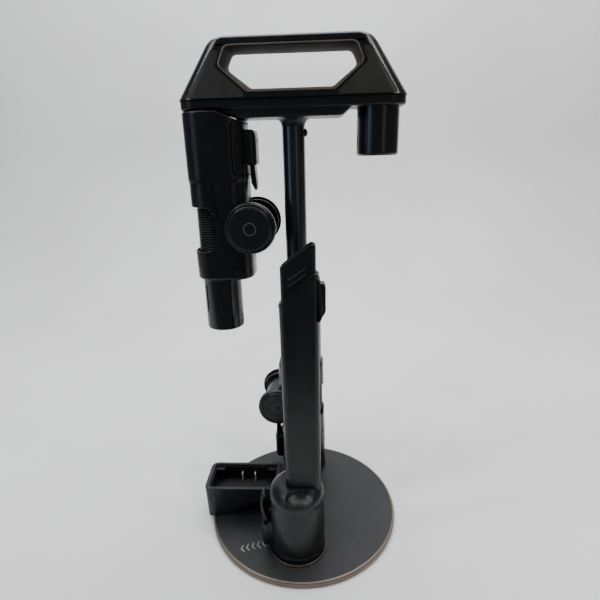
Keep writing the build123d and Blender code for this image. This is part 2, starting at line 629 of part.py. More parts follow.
def make_crevice_tool():
    place = Pos(FRONT_POST[0], FRONT_POST[1], SEAT_HEIGHT)
    width_in = BLADE_WIDTH - 2 * BLADE_WALL
    thick_in = BLADE_THICKNESS - 2 * BLADE_WALL
    corner_in = BLADE_CORNER - BLADE_WALL
    root = COLLAR_HEIGHT - BLADE_ROOT

    round_height = COLLAR_HEIGHT - COLLAR_SHOULDER
    steps = 6
    shoulder = []
    for k in range(steps + 1):
        angle = 90 * k / steps
        vector = Vector(COLLAR_SHOULDER, 0, 0).rotate(Axis.Y, -angle)
        shoulder.append((COLLAR_RADIUS - COLLAR_SHOULDER + vector.X, round_height + vector.Z))
    collar_outside = turned([(0, 0), (COLLAR_RADIUS, 0)] + shoulder + [(0, COLLAR_HEIGHT)])
    collar = collar_outside - upright(SOCKET_RADIUS, -1, COLLAR_SOCKET_DEPTH)
    collar -= blade_prism(width_in, thick_in, corner_in, COLLAR_SOCKET_DEPTH - 1, root + 1)
    collar -= blade_prism(BLADE_WIDTH, BLADE_THICKNESS, BLADE_CORNER, root, COLLAR_HEIGHT + 1)

    # blade: a flat duct, with a guide on its side for the release button
    blade = blade_prism(BLADE_WIDTH, BLADE_THICKNESS, BLADE_CORNER, root, BLADE_HIGH_TIP + 1)
    side = BLADE_OFFSET + BLADE_WIDTH / 2
    blade += prism(SHOE_PROUD + 8, SHOE_WIDTH, 2.5, SHOE_START, SHOE_START + SHOE_LENGTH,
                   (side + (SHOE_PROUD - 8) / 2, 0))
    blade -= blade_prism(width_in, thick_in, corner_in, root - 1, BLADE_HIGH_TIP + 2)
    blade -= slanted_above(BLADE_LOW_TIP, BLADE_HIGH_TIP, BLADE_WIDTH / 2)
    pocket_mid = SHOE_START + SHOE_LENGTH / 2
    pocket_half = RELEASE_LENGTH / 2 + SLIDE_CLEARANCE
    blade -= block(side - BLADE_WALL - 1, side + SHOE_PROUD + 1,
                   -RELEASE_WIDTH / 2 - SLIDE_CLEARANCE, RELEASE_WIDTH / 2 + SLIDE_CLEARANCE,
                   pocket_mid - pocket_half, pocket_mid + pocket_half)

    ext_width = width_in - 2 * SLIDE_CLEARANCE
    ext_thick = thick_in - 2 * SLIDE_CLEARANCE
    ext_corner = corner_in - SLIDE_CLEARANCE
    extension = blade_prism(ext_width, ext_thick, ext_corner, EXTENSION_START,
                            EXTENSION_HIGH_TIP + 1)
    extension -= blade_prism(ext_width - 2 * EXTENSION_WALL, ext_thick - 2 * EXTENSION_WALL,
                             ext_corner - EXTENSION_WALL, EXTENSION_START - 1,
                             EXTENSION_HIGH_TIP + 2)
    extension -= slanted_above(EXTENSION_LOW_TIP, EXTENSION_HIGH_TIP, ext_width / 2)

    inner_face = side - BLADE_WALL + RELEASE_TRAVEL + 0.2
    outer_face = side + SHOE_PROUD + RELEASE_PROUD
    release = prism(outer_face - inner_face, RELEASE_WIDTH, 1.5,
                    pocket_mid - RELEASE_LENGTH / 2, pocket_mid + RELEASE_LENGTH / 2,
                    ((inner_face + outer_face) / 2, 0))

    half_turn = Location((0, 0, 0), (0, 180, 0))
    collar -= half_turn * latch_slot(COLLAR_RADIUS, CREVICE_LATCH_TOP, CREVICE_BLOCK_LENGTH)
    parts["crevice_collar"] = place * collar
    parts["crevice_blade"] = place * blade
    parts["crevice_extension"] = place * extension
    parts["crevice_release_button"] = place * release
    body = half_turn * collar_outside
    make_latch("crevice", COLLAR_RADIUS, CREVICE_LATCH_TOP, CREVICE_BLOCK_LENGTH,
               CREVICE_FINGER_LENGTH, body, place * half_turn)


# ---- battery charging dock ----------------------------------------------------------
def make_dock():
    c = DOCK_CORNER
    top = [(DOCK_LEFT, DOCK_FRONT + c), (DOCK_LEFT + c, DOCK_FRONT), (DOCK_RIGHT, DOCK_FRONT),
           (DOCK_RIGHT, DOCK_BACK), (DOCK_LEFT + c, DOCK_BACK), (DOCK_LEFT, DOCK_BACK - c)]
    low = list(top)
    low[2] = (DOCK_RIGHT, DOCK_FRONT + DOCK_UNDERCUT)
    outside = loft([
        Pos(0, 0, BASE_HEIGHT) * Polygon(*low, align=None),
        Pos(0, 0, DOCK_TOP) * Polygon(*top, align=None),
    ], ruled=True)
    w = DOCK_WALL
    floor = DOCK_FLOOR - TRAY_THICKNESS
    slot_box = block(DOCK_LEFT + w + 1, DOCK_RIGHT - w, DOCK_FRONT + w, DOCK_BACK - w,
                     floor, DOCK_TOP + 1)
    under = block(DOCK_LEFT + w + 8, DOCK_RIGHT - 40, -8, DOCK_BACK - w,
                  BASE_HEIGHT - 1, floor - 2)
    housing = outside - slot_box - under
    inlet_axis = Pos(INLET_X, DOCK_BACK, INLET_Z) * Rot(90, 0, 0)
    housing -= inlet_axis * Cylinder(INLET_RADIUS, 4 * w)
    contact_x = [CONTACT_X, CONTACT_X + CONTACT_SPACING]
    contact_y = DOCK_BACK - w - TRAY_THICKNESS - CONTACT_SIZE[1]
    slots = [block(x - CONTACT_SIZE[0] / 2, x + CONTACT_SIZE[0] / 2, contact_y,
                   contact_y + CONTACT_SIZE[1], floor - 2, DOCK_FLOOR)
             for x in contact_x]
    for slot in slots:
        housing -= slot
    parts["dock_housing"] = housing

    # tray: floor, a step along the front, and a guide rib at each back corner
    x0, x1 = DOCK_LEFT + w + 1, DOCK_RIGHT - w
    y0, y1 = DOCK_FRONT + w, DOCK_BACK - w
    t = TRAY_THICKNESS
    tray = block(x0, x1, y0, y1, floor, DOCK_TOP - 3)
    tray -= block(x0 + t, x1 - t, y0 + t, y1 - t, DOCK_FLOOR, DOCK_TOP)
    tray += block(x0, x1, y0, y0 + 5, floor, DOCK_FLOOR + 5)
    for end in (x0 + t, x1 - t - 11):
        tray += block(end, end + 11, y1 - t - 5, y1 - t, DOCK_TOP - 7, DOCK_TOP - 4)
    for slot in slots:
        tray -= slot
    parts["dock_tray"] = tray
    parts["dock_contacts"] = Compound(children=[
        block(x - CONTACT_SIZE[0] / 2, x + CONTACT_SIZE[0] / 2, contact_y,
              contact_y + CONTACT_SIZE[1], floor - 2, DOCK_FLOOR + CONTACT_SIZE[2])
        for x in contact_x])

    board_top = floor - 2 - 0.4
    board = block(DOCK_LEFT + w + 9, DOCK_RIGHT - 41, -6, DOCK_BACK - w - 1,
                  board_top - 1.6, board_top)
    board += block(CONTACT_X - 12, CONTACT_X + 4, 0, 10, board_top - 8, board_top - 1.6)
    parts["dock_board"] = board
    inlet = inlet_axis * Pos(0, 0, INLET_DEPTH / 2) * Cylinder(INLET_RADIUS, INLET_DEPTH)
    inlet -= inlet_axis * Pos(0, 0, INLET_DEPTH / 2 - 1) * Cylinder(INLET_BORE, INLET_DEPTH)
    parts["power_inlet"] = inlet


def make_all():
    make_base()
    make_posts()
    make_pole()
    make_head()
    make_dock()
    hanging = Pos(-PEG_SPACING, 0, HEAD_BOTTOM - SEAT_GAP)
    standing = Location((REAR_POST[0], REAR_POST[1], SEAT_HEIGHT), (0, 180, 0))
    make_hose_tool("left_tool", hanging)
    make_hose_tool("rear_tool", standing)
    make_crevice_tool()


def save_all():
    os.makedirs("parts", exist_ok=True)
    for name, solid in parts.items():
        solid.label = name
        export_step(solid, "parts/" + name + ".step")


make_all()
save_all()
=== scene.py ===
import json
import math

import bpy
from mathutils import Matrix, Vector


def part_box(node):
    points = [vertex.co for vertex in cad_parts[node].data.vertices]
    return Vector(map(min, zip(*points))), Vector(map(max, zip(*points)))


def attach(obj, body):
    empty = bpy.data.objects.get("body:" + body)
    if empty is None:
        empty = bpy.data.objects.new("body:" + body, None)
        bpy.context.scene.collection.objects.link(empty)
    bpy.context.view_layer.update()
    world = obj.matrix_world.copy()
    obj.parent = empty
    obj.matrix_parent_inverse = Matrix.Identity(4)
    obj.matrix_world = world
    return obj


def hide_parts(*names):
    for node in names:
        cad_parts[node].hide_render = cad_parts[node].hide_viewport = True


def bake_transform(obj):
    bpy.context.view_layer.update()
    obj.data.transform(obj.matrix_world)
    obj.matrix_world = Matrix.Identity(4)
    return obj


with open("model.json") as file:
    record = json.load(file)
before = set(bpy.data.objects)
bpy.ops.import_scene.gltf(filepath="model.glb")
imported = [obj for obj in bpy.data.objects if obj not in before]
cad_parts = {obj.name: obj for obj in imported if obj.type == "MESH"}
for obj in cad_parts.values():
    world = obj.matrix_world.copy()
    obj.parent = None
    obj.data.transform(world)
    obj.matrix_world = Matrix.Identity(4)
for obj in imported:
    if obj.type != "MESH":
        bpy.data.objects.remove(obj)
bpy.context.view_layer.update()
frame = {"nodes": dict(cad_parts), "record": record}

# The looks of a stand for a cordless stick cleaner's tools. Lengths are millimetres in the
# frame's own axes until a mesh is written, in metres. A folding tool is drawn about its own
# origin: the open end of its socket, tube along -Z, hinge towards +X, push button towards -Y.

MM = 0.001

# camera, in millimetres and degrees
CAMERA_AT = (27.4, -480.7, 458.1)
CAMERA_TURN = 3.0
CAMERA_DOWN = 18.54
CAMERA_ROLL = -1.5
CAMERA_LENS = 26.58

# carrying head
GRIP_HALF_LENGTH = 77.0
GRIP_HALF_DEPTH = 18.0
HEAD_CORNER = 18.0
GRIP_CORNER = 12.0
GRIP_FILLET = 4.0
GRIP_END_CORNER = 9.0
OPENING_CORNER = 7.0
OPENING_TOP_IN = 7.5
OPENING_LOW_IN = 27.5
OPENING_MID_DROP = 18.0
PANEL_DEPTH = 1.2
PANEL_GAP = 0.35
PEG_SUNK = 5.0
BELLY_DROP = 8.0
BELLY_CURVE_START = 8.0
BELLY_CURVE_RUN = 25.0

# folding tool
CASING_X = (-25.2, 37.5)
CASING_HALF_DEPTH = 28.0
CASING_CORNER = 20.0
CASING_WALL = 2.5
WINDOW_Z = (-138.0, -92.0)
WINDOW_RIGHT = 3.0
WINDOW_CORNER = 13.0
CHEEK_RADIUS = 24.0
CHEEK_INSIDE = 20.0
KNUCKLE_RADIUS = 19.0
RUN_GAP = 0.4
RIB_PITCH = 2.6
RIB_DEPTH = 1.7
TUBE_SLOT_ANGLE = -48.0
WAIST_TOP = -63.0
WAIST = 0.8
SKIRT_FURTHER = 2.4
TUBE_RADIUS = 21.0
TUBE_WALL = 2.0
FINGER_HALF = 8.5

# crevice tool
BLADE_CORNER = 7.0
BLADE_WALL = 2.0
EXTENSION_CORNER = 4.6
EXTENSION_WALL = 1.8
MOUTH_PEAK = 0.16
BUTTON_GAP = 0.4

# what a cut reaches past any piece it passes through
THROUGH = 40.0

# dock
DOCK_CORNER = 10.0
DOCK_UNDERCUT = 36.0


# ---- lengths read from the frame ----------------------------------------------------
def node_box(node, place=None):
    """A node's lowest and highest corners in millimetres, in the axes that place gives."""
    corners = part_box(node)
    if place is not None:
        corners = [place.inverted() @ corner for corner in corners]
    low = Vector([min(a, b) for a, b in zip(*corners)]) / MM
    high = Vector([max(a, b) for a, b in zip(*corners)]) / MM
    return low, high


def middle(node, place=None):
    low, high = node_box(node, place)
    return (low + high) / 2


# ---- outlines -----------------------------------------------------------------------
def arc(centre, radius, start, end, steps):
    """Points on an arc, from one angle to another, in degrees."""
    points = []
    for k in range(steps + 1):
        angle = math.radians(start + (end - start) * k / steps)
        points.append((centre[0] + radius * math.cos(angle),
                       centre[1] + radius * math.sin(angle)))
    return points


def round_box(x0, x1, y0, y1, radii, steps=8):
    """A rectangle with rounded corners, anticlockwise from its lower left corner."""
    if not hasattr(radii, "__len__"):
        radii = [radii] * 4
    corners = [(x0, y0, 180), (x1, y0, 270), (x1, y1, 0), (x0, y1, 90)]
    points = []
    for (x, y, start), radius in zip(corners, radii):
        r = max(radius, 0.01)
        cx = x + r if x == x0 else x - r
        cy = y + r if y == y0 else y - r
        points += arc((cx, cy), r, start, start + 90, steps)
    return points


def eased_corner(here, before, after, reach, steps):
    """Points on a curve that cuts a corner; before and after lead away from it."""
    reach = min(reach, before.length * 0.49, after.length * 0.49)
    start = here + before.normalized() * reach
    end = here + after.normalized() * reach
    shares = [k / steps for k in range(steps + 1)]
    return [tuple(start * (1 - t) ** 2 + here * 2 * t * (1 - t) + end * t * t) for t in shares]


def rounded_outline(corners, radii, steps=6):
    """A polygon whose corners are rounded, each with its own radius."""
    points = []
    for k, corner in enumerate(corners):
        here = Vector(corner)
        before = Vector(corners[k - 1]) - here
        after = Vector(corners[(k + 1) % len(corners)]) - here
        reach = radii[k] / math.tan(before.angle(after) / 2)
        points += eased_corner(here, before, after, reach, steps)
    return points


def ease(t):
    """A share that starts and ends gently."""
    return t * t * (3 - 2 * t)


def rounded_ends(z0, z1, r0, r1, steps=4):
    """Levels (height, inset) of an upright solid with rounded lower and upper edges."""
    levels = []
    for k in range(steps, -1, -1):
        angle = math.pi / 2 * k / steps
        levels.append((z0 + r0 * (1 - math.sin(angle)), r0 * (1 - math.cos(angle))))
    for k in range(steps + 1):
        angle = math.pi / 2 * k / steps
        levels.append((z1 - r1 * (1 - math.sin(angle)), r1 * (1 - math.cos(angle))))
    kept = levels[:1]
    for level in levels[1:]:
        if abs(level[0] - kept[-1][0]) > 1e-4 or abs(level[1] - kept[-1][1]) > 1e-4:
            kept.append(level)
    return kept


# ---- solids -------------------------------------------------------------------------
def new_solid(points, faces):
    mesh = bpy.data.meshes.new("solid")
    mesh.from_pydata([Vector(p) * MM for p in points], [], faces)
    mesh.validate()
    solid = bpy.data.objects.new("solid", mesh)
    bpy.context.scene.collection.objects.link(solid)
    return solid


def skin(loops):
    """A capped solid through loops of equally many points."""
    count = len(loops[0])
    points = [p for loop in loops for p in loop]
    faces = []
    for row in range(len(loops) - 1):
        a, b = row * count, (row + 1) * count
        for k in range(count):
            n = (k + 1) % count
            faces.append((a + k, a + n, b + n, b + k))
    faces.append(tuple(reversed(range(count))))
    faces.append(tuple(range(len(points) - count, len(points))))
    return new_solid(points, faces)


def stack(section, levels):
    """An upright solid; section(height, inset) gives the outline at each level."""
    return skin([[(x, y, z) for x, y in section(z, inset)] for z, inset in levels])


def upright(outline, z0, z1):
    """An upright prism."""
    return skin([[(x, y, z) for x, y in outline] for z in (z0, z1)])


def plate(outline, y0=-THROUGH, y1=THROUGH):
    """A plate whose outline is in the XZ plane, from y0 to y1."""
    return skin([[(x, y, z) for x, z in outline] for y in (y1, y0)])


def lathe(profile, segments=72, at=(0, 0, 0), along="Z"):
    """A solid turned from a closed profile of (radius, height) points."""
    points, faces, rings = [], [], []
    for r, h in profile:
        if abs(r) < 1e-6:
            rings.append([len(points)] * segments)
            points.append((0, 0, h))
        else:
            rings.append(list(range(len(points), len(points) + segments)))
            for k in range(segments):
                angle = 2 * math.pi * k / segments
                points.append((r * math.cos(angle), r * math.sin(angle), h))
    count = len(profile)
    for row in range(count):
        a, b = rings[row], rings[(row + 1) % count]
        if a[0] == a[-1] and b[0] == b[-1]:
            continue
        for k in range(segments):
            n = (k + 1) % segments
            face = []
            for index in (a[k], a[n], b[n], b[k]):
                if index not in face:
                    face.append(index)
            faces.append(tuple(face))
    if along == "-Y":
        points = [(x, -z, y) for x, y, z in points]
    elif along == "+Y":
        points = [(x, z, -y) for x, y, z in points]
    elif along == "+X":
        points = [(z, y, -x) for x, y, z in points]
    return new_solid([Vector(p) + Vector(at) for p in points], faces)


def round_profile(corners, radii, steps=3):
    """A closed turned profile whose corners are rounded; a zero radius stays sharp."""
    points = []
    for k, corner in enumerate(corners):
        here = Vector(corner)
        before = Vector(corners[k - 1]) - here
        after = Vector(corners[(k + 1) % len(corners)]) - here
        if radii[k] > 0:
            points += eased_corner(here, before, after, radii[k], steps)
        else:
            points.append(tuple(corner))
    return points


def settle(solid):
    """Writes a solid's modifiers into its mesh."""
    graph = bpy.context.evaluated_depsgraph_get()
    mesh = bpy.data.meshes.new_from_object(solid.evaluated_get(graph), depsgraph=graph)
    old = solid.data
    solid.modifiers.clear()
    solid.data = mesh
    bpy.data.meshes.remove(old)
    return solid


def combine(solid, operation, tools):
    for tool in tools:
        step = solid.modifiers.new(operation, "BOOLEAN")
        step.operation = operation
        step.object = tool
        step.solver = "EXACT"
        settle(solid)
        bpy.data.objects.remove(tool)
    return solid


def cut(solid, *tools):
    return combine(solid, "DIFFERENCE", tools)


def join(solid, *tools):
    return combine(solid, "UNION", tools)


def meet(solid, *tools):
    return combine(solid, "INTERSECT", tools)


def soften(solid, width=0.6, segments=2, angle=32.0):
    """Rounds a solid's sharp edges."""
    weld = solid.modifiers.new("weld", "WELD")
    weld.merge_threshold = 0.02 * MM
    bevel = solid.modifiers.new("bevel", "BEVEL")
    bevel.width = width * MM
    bevel.segments = segments
    bevel.limit_method = "ANGLE"
    bevel.angle_limit = math.radians(angle)
    bevel.use_clamp_overlap = False
    bevel.miter_outer = "MITER_ARC"
    return settle(solid)


def piece(solid, name, body, look, replaces=(), place=None):
    """Names a solid, gives it its finish and lets it ride on its body, if it has just one."""
    if place is not None:
        solid.data.transform(place)
    solid.name = name
    solid.data.name = name
    solid.data.materials.clear()
    solid.data.materials.append(finish[look])
    solid.data.shade_smooth()
    solid.data.set_sharp_from_angle(angle=math.radians(38))
    normals = solid.modifiers.new("normals", "WEIGHTED_NORMAL")
    normals.keep_sharp = True
    settle(solid)
    if replaces:
        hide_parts(*replaces)
    if body is not None:
        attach(solid, body)
    return solid


# ---- materials ----------------------------------------------------------------------
def new_material(name):
    material = bpy.data.materials.new(name)
    material.use_nodes = True
    nodes = material.node_tree.nodes
    return material, nodes, material.node_tree.links, nodes["Principled BSDF"]


def noise(nodes, links, coordinates, scale, detail=4.0):
    texture = nodes.new("ShaderNodeTexNoise")
    texture.inputs["Scale"].default_value = scale
    texture.inputs["Detail"].default_value = detail
    texture.inputs["Roughness"].default_value = 0.55
    links.new(coordinates, texture.inputs["Vector"])
    return texture.outputs["Fac"]


def spread(nodes, links, value, low, high, start=0.3, end=0.7):
    """Stretches a noise value over a range."""
    span = nodes.new("ShaderNodeMapRange")
    span.inputs["From Min"].default_value = start
    span.inputs["From Max"].default_value = end
    span.inputs["To Min"].default_value = low
    span.inputs["To Max"].default_value = high
    links.new(value, span.inputs["Value"])
    return span.outputs["Result"]


def ramp(nodes, links, value, low_colour, high_colour):
    blend = nodes.new("ShaderNodeValToRGB")
    blend.color_ramp.elements[0].position = 0.35
    blend.color_ramp.elements[1].position = 0.65
    blend.color_ramp.elements[0].color = (*low_colour, 1)
    blend.color_ramp.elements[1].color = (*high_colour, 1)
    links.new(value, blend.inputs["Fac"])
    return blend.outputs["Color"]


def surface(name, colour, second, rough, metal=0.0, grain=600.0, bump=0.02, patch=35.0,
            gloss=0.3):
    """A moulded, painted or plated finish: cloudy colour, uneven gloss and a fine grain."""
    material, nodes, links, shader = new_material(name)
    coordinates = nodes.new("ShaderNodeTexCoord").outputs["Object"]
    cloud = noise(nodes, links, coordinates, patch)
    links.new(ramp(nodes, links, cloud, colour, second), shader.inputs["Base Color"])
    smear = noise(nodes, links, coordinates, patch * 2.3, detail=6.0)
    links.new(spread(nodes, links, smear, *rough), shader.inputs["Roughness"])
    shader.inputs["Metallic"].default_value = metal
    shader.inputs["Specular IOR Level"].default_value = gloss
    fine = noise(nodes, links, coordinates, grain, detail=3.0)
    height = nodes.new("ShaderNodeBump")
    height.inputs["Strength"].default_value = bump
    height.inputs["Distance"].default_value = 0.0004
    links.new(fine, height.inputs["Height"])
    links.new(height.outputs["Normal"], shader.inputs["Normal"])
    return material


def speckled(name, colour, speck, rough, scale):
    """A matt moulding with small pale specks of dust in its texture."""
    material = surface(name, colour, tuple(1.25 * c for c in colour), rough,
                       grain=1500.0, bump=0.12, patch=9.0)
    nodes, links = material.node_tree.nodes, material.node_tree.links
    shader = nodes["Principled BSDF"]
    under = shader.inputs["Base Color"].links[0].from_socket
    coordinates = next(n for n in nodes if n.type == "TEX_COORD").outputs["Object"]
    dots = nodes.new("ShaderNodeTexVoronoi")
    dots.inputs["Scale"].default_value = scale
    links.new(coordinates, dots.inputs["Vector"])
    near = spread(nodes, links, dots.outputs["Distance"], 1.0, 0.0, 0.05, 0.12)
    where = noise(nodes, links, coordinates, scale * 0.35, detail=1.0)
    some = spread(nodes, links, where, 0.0, 0.8, 0.58, 0.66)
    amount = nodes.new("ShaderNodeMath")
    amount.operation = "MULTIPLY"
    links.new(near, amount.inputs[0])
    links.new(some, amount.inputs[1])
    mix = nodes.new("ShaderNodeMix")
    mix.data_type = "RGBA"
    links.new(amount.outputs[0], mix.inputs["Factor"])
    links.new(under, mix.inputs["A"])
    mix.inputs["B"].default_value = (*speck, 1)
    links.new(mix.outputs["Result"], shader.inputs["Base Color"])
    return material


finish = {
    "painted_steel": surface("steel", (0.03, 0.03, 0.033), (0.05, 0.05, 0.054), (0.4, 0.55)),
    "base_plastic": speckled("base_plastic", (0.0155, 0.0162, 0.0165), (0.2, 0.2, 0.195),
                             (0.42, 0.56), 420.0),
    "bronze_metal": surface("bronze_metal", (0.135, 0.108, 0.087), (0.17, 0.136, 0.11),
                            (0.36, 0.46), metal=0.7, grain=1400.0, bump=0.03, patch=14.0,
                            gloss=0.4),
    "dark_bronze": surface("dark_bronze", (0.045, 0.034, 0.027), (0.06, 0.046, 0.037),
                           (0.3, 0.4), metal=0.5, grain=900.0),
    "lining": surface("lining", (0.014, 0.0108, 0.009), (0.02, 0.0155, 0.0125), (0.5, 0.6),
                      grain=1100.0, bump=0.04, gloss=0.1),
    "rubber": surface("rubber", (0.012, 0.012, 0.012), (0.018, 0.018, 0.018), (0.7, 0.85),
                      bump=0.1),
    "gloss_black": surface("gloss_black", (0.0032, 0.0036, 0.0042), (0.0052, 0.0056, 0.0062),
                           (0.17, 0.26), grain=400.0, bump=0.012, gloss=0.42),
    "pole_metal": surface("pole_metal", (0.0035, 0.0045, 0.0085), (0.006, 0.007, 0.012),
                          (0.2, 0.27), grain=700.0, bump=0.01, gloss=0.6),
    "satin_black": surface("satin_black", (0.0038, 0.0042, 0.0048), (0.006, 0.0064, 0.007),
                           (0.3, 0.42), grain=1100.0, bump=0.05, gloss=0.28),
    "panel_grey": surface("panel_grey", (0.0145, 0.014, 0.0122), (0.02, 0.0192, 0.0168),
                          (0.46, 0.58), grain=1400.0, bump=0.1, gloss=0.25),
    "dock_plastic": surface("dock_plastic", (0.0085, 0.0105, 0.0125), (0.0125, 0.0145, 0.0168),
                            (0.36, 0.48), grain=1200.0, bump=0.06, gloss=0.3),
    # The inside of the tray: darker than the dock body, which paints the shade that falls in the
    # tray.
    "dock_inner": surface("dock_inner", (0.0045, 0.0045, 0.0048), (0.0085, 0.008, 0.0076),
                          (0.45, 0.6), grain=900.0, bump=0.05, gloss=0.25),
    "contact_metal": surface("contact_metal", (0.75, 0.68, 0.52), (0.85, 0.79, 0.64),
                             (0.4, 0.5), metal=0.6, grain=1500.0, gloss=0.8),
    "board": surface("board", (0.01, 0.07, 0.03), (0.015, 0.09, 0.04), (0.35, 0.5)),
    "tool_black": surface("tool_black", (0.0030, 0.0034, 0.0040), (0.0052, 0.0056, 0.0064),
                          (0.24, 0.36), grain=800.0, bump=0.03, gloss=0.3),
    "knob_black": surface("knob_black", (0.0042, 0.0044, 0.005), (0.0068, 0.007, 0.0078),
                          (0.2, 0.32), grain=700.0, bump=0.02, gloss=0.38),
    "spring_steel": surface("spring_steel", (0.4, 0.4, 0.42), (0.5, 0.5, 0.52),
                            (0.25, 0.4), metal=1.0),
    "crevice_black": surface("crevice_black", (0.0040, 0.0046, 0.0050), (0.0068, 0.0074, 0.0078),
                             (0.26, 0.4), grain=900.0, bump=0.035, gloss=0.3),
    # The ribs' finish: a black several times lighter than the tool's, which paints a highlight
    # along the raised ribs.
    "painted_highlight_black": surface("painted_highlight_black", (0.022, 0.0225, 0.021), (0.032, 0.0325, 0.03),
                          (0.3, 0.4), grain=900.0, gloss=0.4),
    "hose_black": surface("hose_black", (0.004, 0.0042, 0.0046), (0.007, 0.0072, 0.0078),
                          (0.38, 0.5), grain=900.0, bump=0.05),
    "print_grey": surface("print_grey", (0.16, 0.16, 0.165), (0.24, 0.24, 0.245),
                          (0.5, 0.6), grain=1500.0, bump=0.05),
    "mark_grey": surface("mark_grey", (0.045, 0.045, 0.05), (0.07, 0.07, 0.078),
                         (0.4, 0.5), grain=1500.0, bump=0.03),
}

for row in frame["record"]["subparts"]:
    node_mesh = frame["nodes"][row["node"]].data
    node_mesh.materials.clear()
    node_mesh.materials.append(finish[row["material_slot"]])


# ---- base, posts and pole -----------------------------------------------------------
def make_base():
    low, high = node_box("base_cover")
    radius, top = high.x, high.z
    rim_low, rim_high = node_box("rim_ring")
    pole = node_box("pole")[1].x
    profile = round_profile(
        [(0.0, low.z + 3), (radius - 6, low.z + 3), (radius - 6, low.z), (radius, low.z),
         (radius, top), (pole + 9, top), (pole + 6.5, top - 0.45), (0.0, top - 0.45)],
        [0, 0, 0.5, 0.3, 0.3, 0.4, 0.4, 0])
    piece(lathe(profile, 144), "base_top", "stand", "base_plastic", ["base_cover"])
    outside = rim_high.x
    profile = round_profile(
        [(radius, rim_low.z), (outside - 0.8, rim_low.z), (outside, rim_low.z + 1.2),
         (outside, top - 1.6), (outside - 0.9, top - 0.3), (outside - 1.6, top), (radius, top)],
        [0, 0.3, 0.6, 0.9, 0.5, 0.4, 0])
    piece(lathe(profile, 192), "base_rim", "stand", "bronze_metal", ["rim_ring"])


def make_arrowheads():
    """A plain row of five arrowheads printed on the base."""
    top = node_box("base_cover")[1].z
    start, end = Vector((-70.0, -75.5)), Vector((-45.3, -67.6))
    count, half_height, arm, slant = 5, 4.8, 1.6, 2.8
    step = (end - start) / (count - 1)
    along = step.normalized()
    across = Vector((-along.y, along.x))
    for k in range(count):
        centre = start + step * k
        shape = [(-slant, 0), (0, half_height), (arm, half_height), (arm - slant, 0),
                 (arm, -half_height), (0, -half_height)]
        outline = [tuple(centre + along * x + across * y) for x, y in reversed(shape)]
        mark = upright(outline, top - 0.2, top + 0.12)
        piece(mark, "arrowhead_%d" % (k + 1), "stand", "print_grey")


def make_post_rings():
    """The thin bright ring at the foot of each post."""
    low, high = node_box("post_rings")
    for name, post in (("front", "front_post"), ("rear", "rear_post")):
        centre = middle(post)
        inner = node_box(post)[1].x - centre.x
        outer = inner + 2.0
        profile = round_profile(
            [(inner, low.z), (outer, low.z), (outer, high.z), (inner, high.z)],
            [0, 0.2, 0.9, 0.3])
        ring = lathe(profile, 120, (centre.x, centre.y, 0))
        piece(ring, name + "_post_ring", "stand", "dark_bronze", ["post_rings"])


def make_pole():
    low, high = node_box("pole")
    radius = high.x
    wall = 1.5
    tube = lathe([(radius - wall, low.z), (radius, low.z), (radius, high.z),
                  (radius - wall, high.z)], 96)
    snap_low, snap_high = node_box("snap_button")
    at = (0, 0, (snap_low.z + snap_high.z) / 2)
    hole = lathe([(0, 4), (snap_high.y + 0.25, 4), (snap_high.y + 0.25, 20), (0, 20)], 48,
                 at, "+X")
    piece(cut(tube, hole), "pole_tube", "stand", "pole_metal", ["pole"])
    reach, half = snap_high.x, snap_high.y
    bulge = half * 0.7
    dome = [(0, reach - 7.0), (half, reach - 7.0), (half, reach - bulge)]
    dome += [(half * math.cos(a), reach - bulge + bulge * math.sin(a))
             for a in [math.pi / 2 * k / 8 for k in range(1, 8)]]
    knob = lathe(dome + [(0, reach)], 48, at, "+X")
    piece(knob, "snap_dome", "snap", "satin_black", ["snap_button"])
    foot = lathe(round_profile(
        [(radius, 7.6), (radius + 2.6, 7.6), (radius + 2.6, 8.9), (radius + 0.8, 10.2),
         (radius, 10.2)], [0, 0.2, 0.6, 0.5, 0]), 96)
    piece(foot, "pole_foot_ring", "stand", "satin_black")


# ---- carrying head ------------------------------------------------------------------
def head_sizes():
    shell_low, shell_high = node_box("head_shell")
    trim_low, trim_high = node_box("handle_trim")
    return {
        "half_length": shell_high.x, "half_depth": shell_high.y,
        "flange": shell_low.z, "top": shell_high.z,
        "open_half": trim_high.x, "open_top": trim_high.z, "open_low": trim_low.z,
        "open_top_half": trim_high.x - OPENING_TOP_IN,
        "open_low_half": trim_high.x - OPENING_LOW_IN,
        "open_mid": trim_high.z - OPENING_MID_DROP,
    }


def head_section(s, z, inset, fillet):
    """The head's outline at a height; its ends curve over into the top of the grip."""
    rise = s["top"] - s["flange"]
    t = (z - s["flange"]) / rise
    slope = (s["half_length"] - GRIP_HALF_LENGTH) / rise
    half_x = s["half_length"] - slope * rise * t
    below = max(s["top"] - inset - z, 0.0)
    if below < GRIP_END_CORNER:
        share = math.sqrt(below / GRIP_END_CORNER)
        half_x = GRIP_HALF_LENGTH + GRIP_END_CORNER * (slope * share ** 2
                                                           - (1 - share) ** 2)
    half_y = s["half_depth"] + (GRIP_HALF_DEPTH - s["half_depth"]) * t - inset
    if below < fillet:
        half_y -= fillet - math.sqrt(fillet ** 2 - (fillet - below) ** 2)
    corner = HEAD_CORNER + (GRIP_CORNER - HEAD_CORNER) * t - inset
    corner = min(max(corner, 1.0), half_y - 0.5)
    return round_box(-half_x + inset, half_x - inset, -half_y, half_y, corner, 10)


def head_solid(s, inset, fillet):
    top = s["top"] - inset
    levels = [(s["flange"], 0)]
    levels += [(top - GRIP_END_CORNER * (k / 12) ** 2, 0) for k in range(12, -1, -1)]
    return stack(lambda z, drawn: head_section(s, z, inset, fillet), levels)


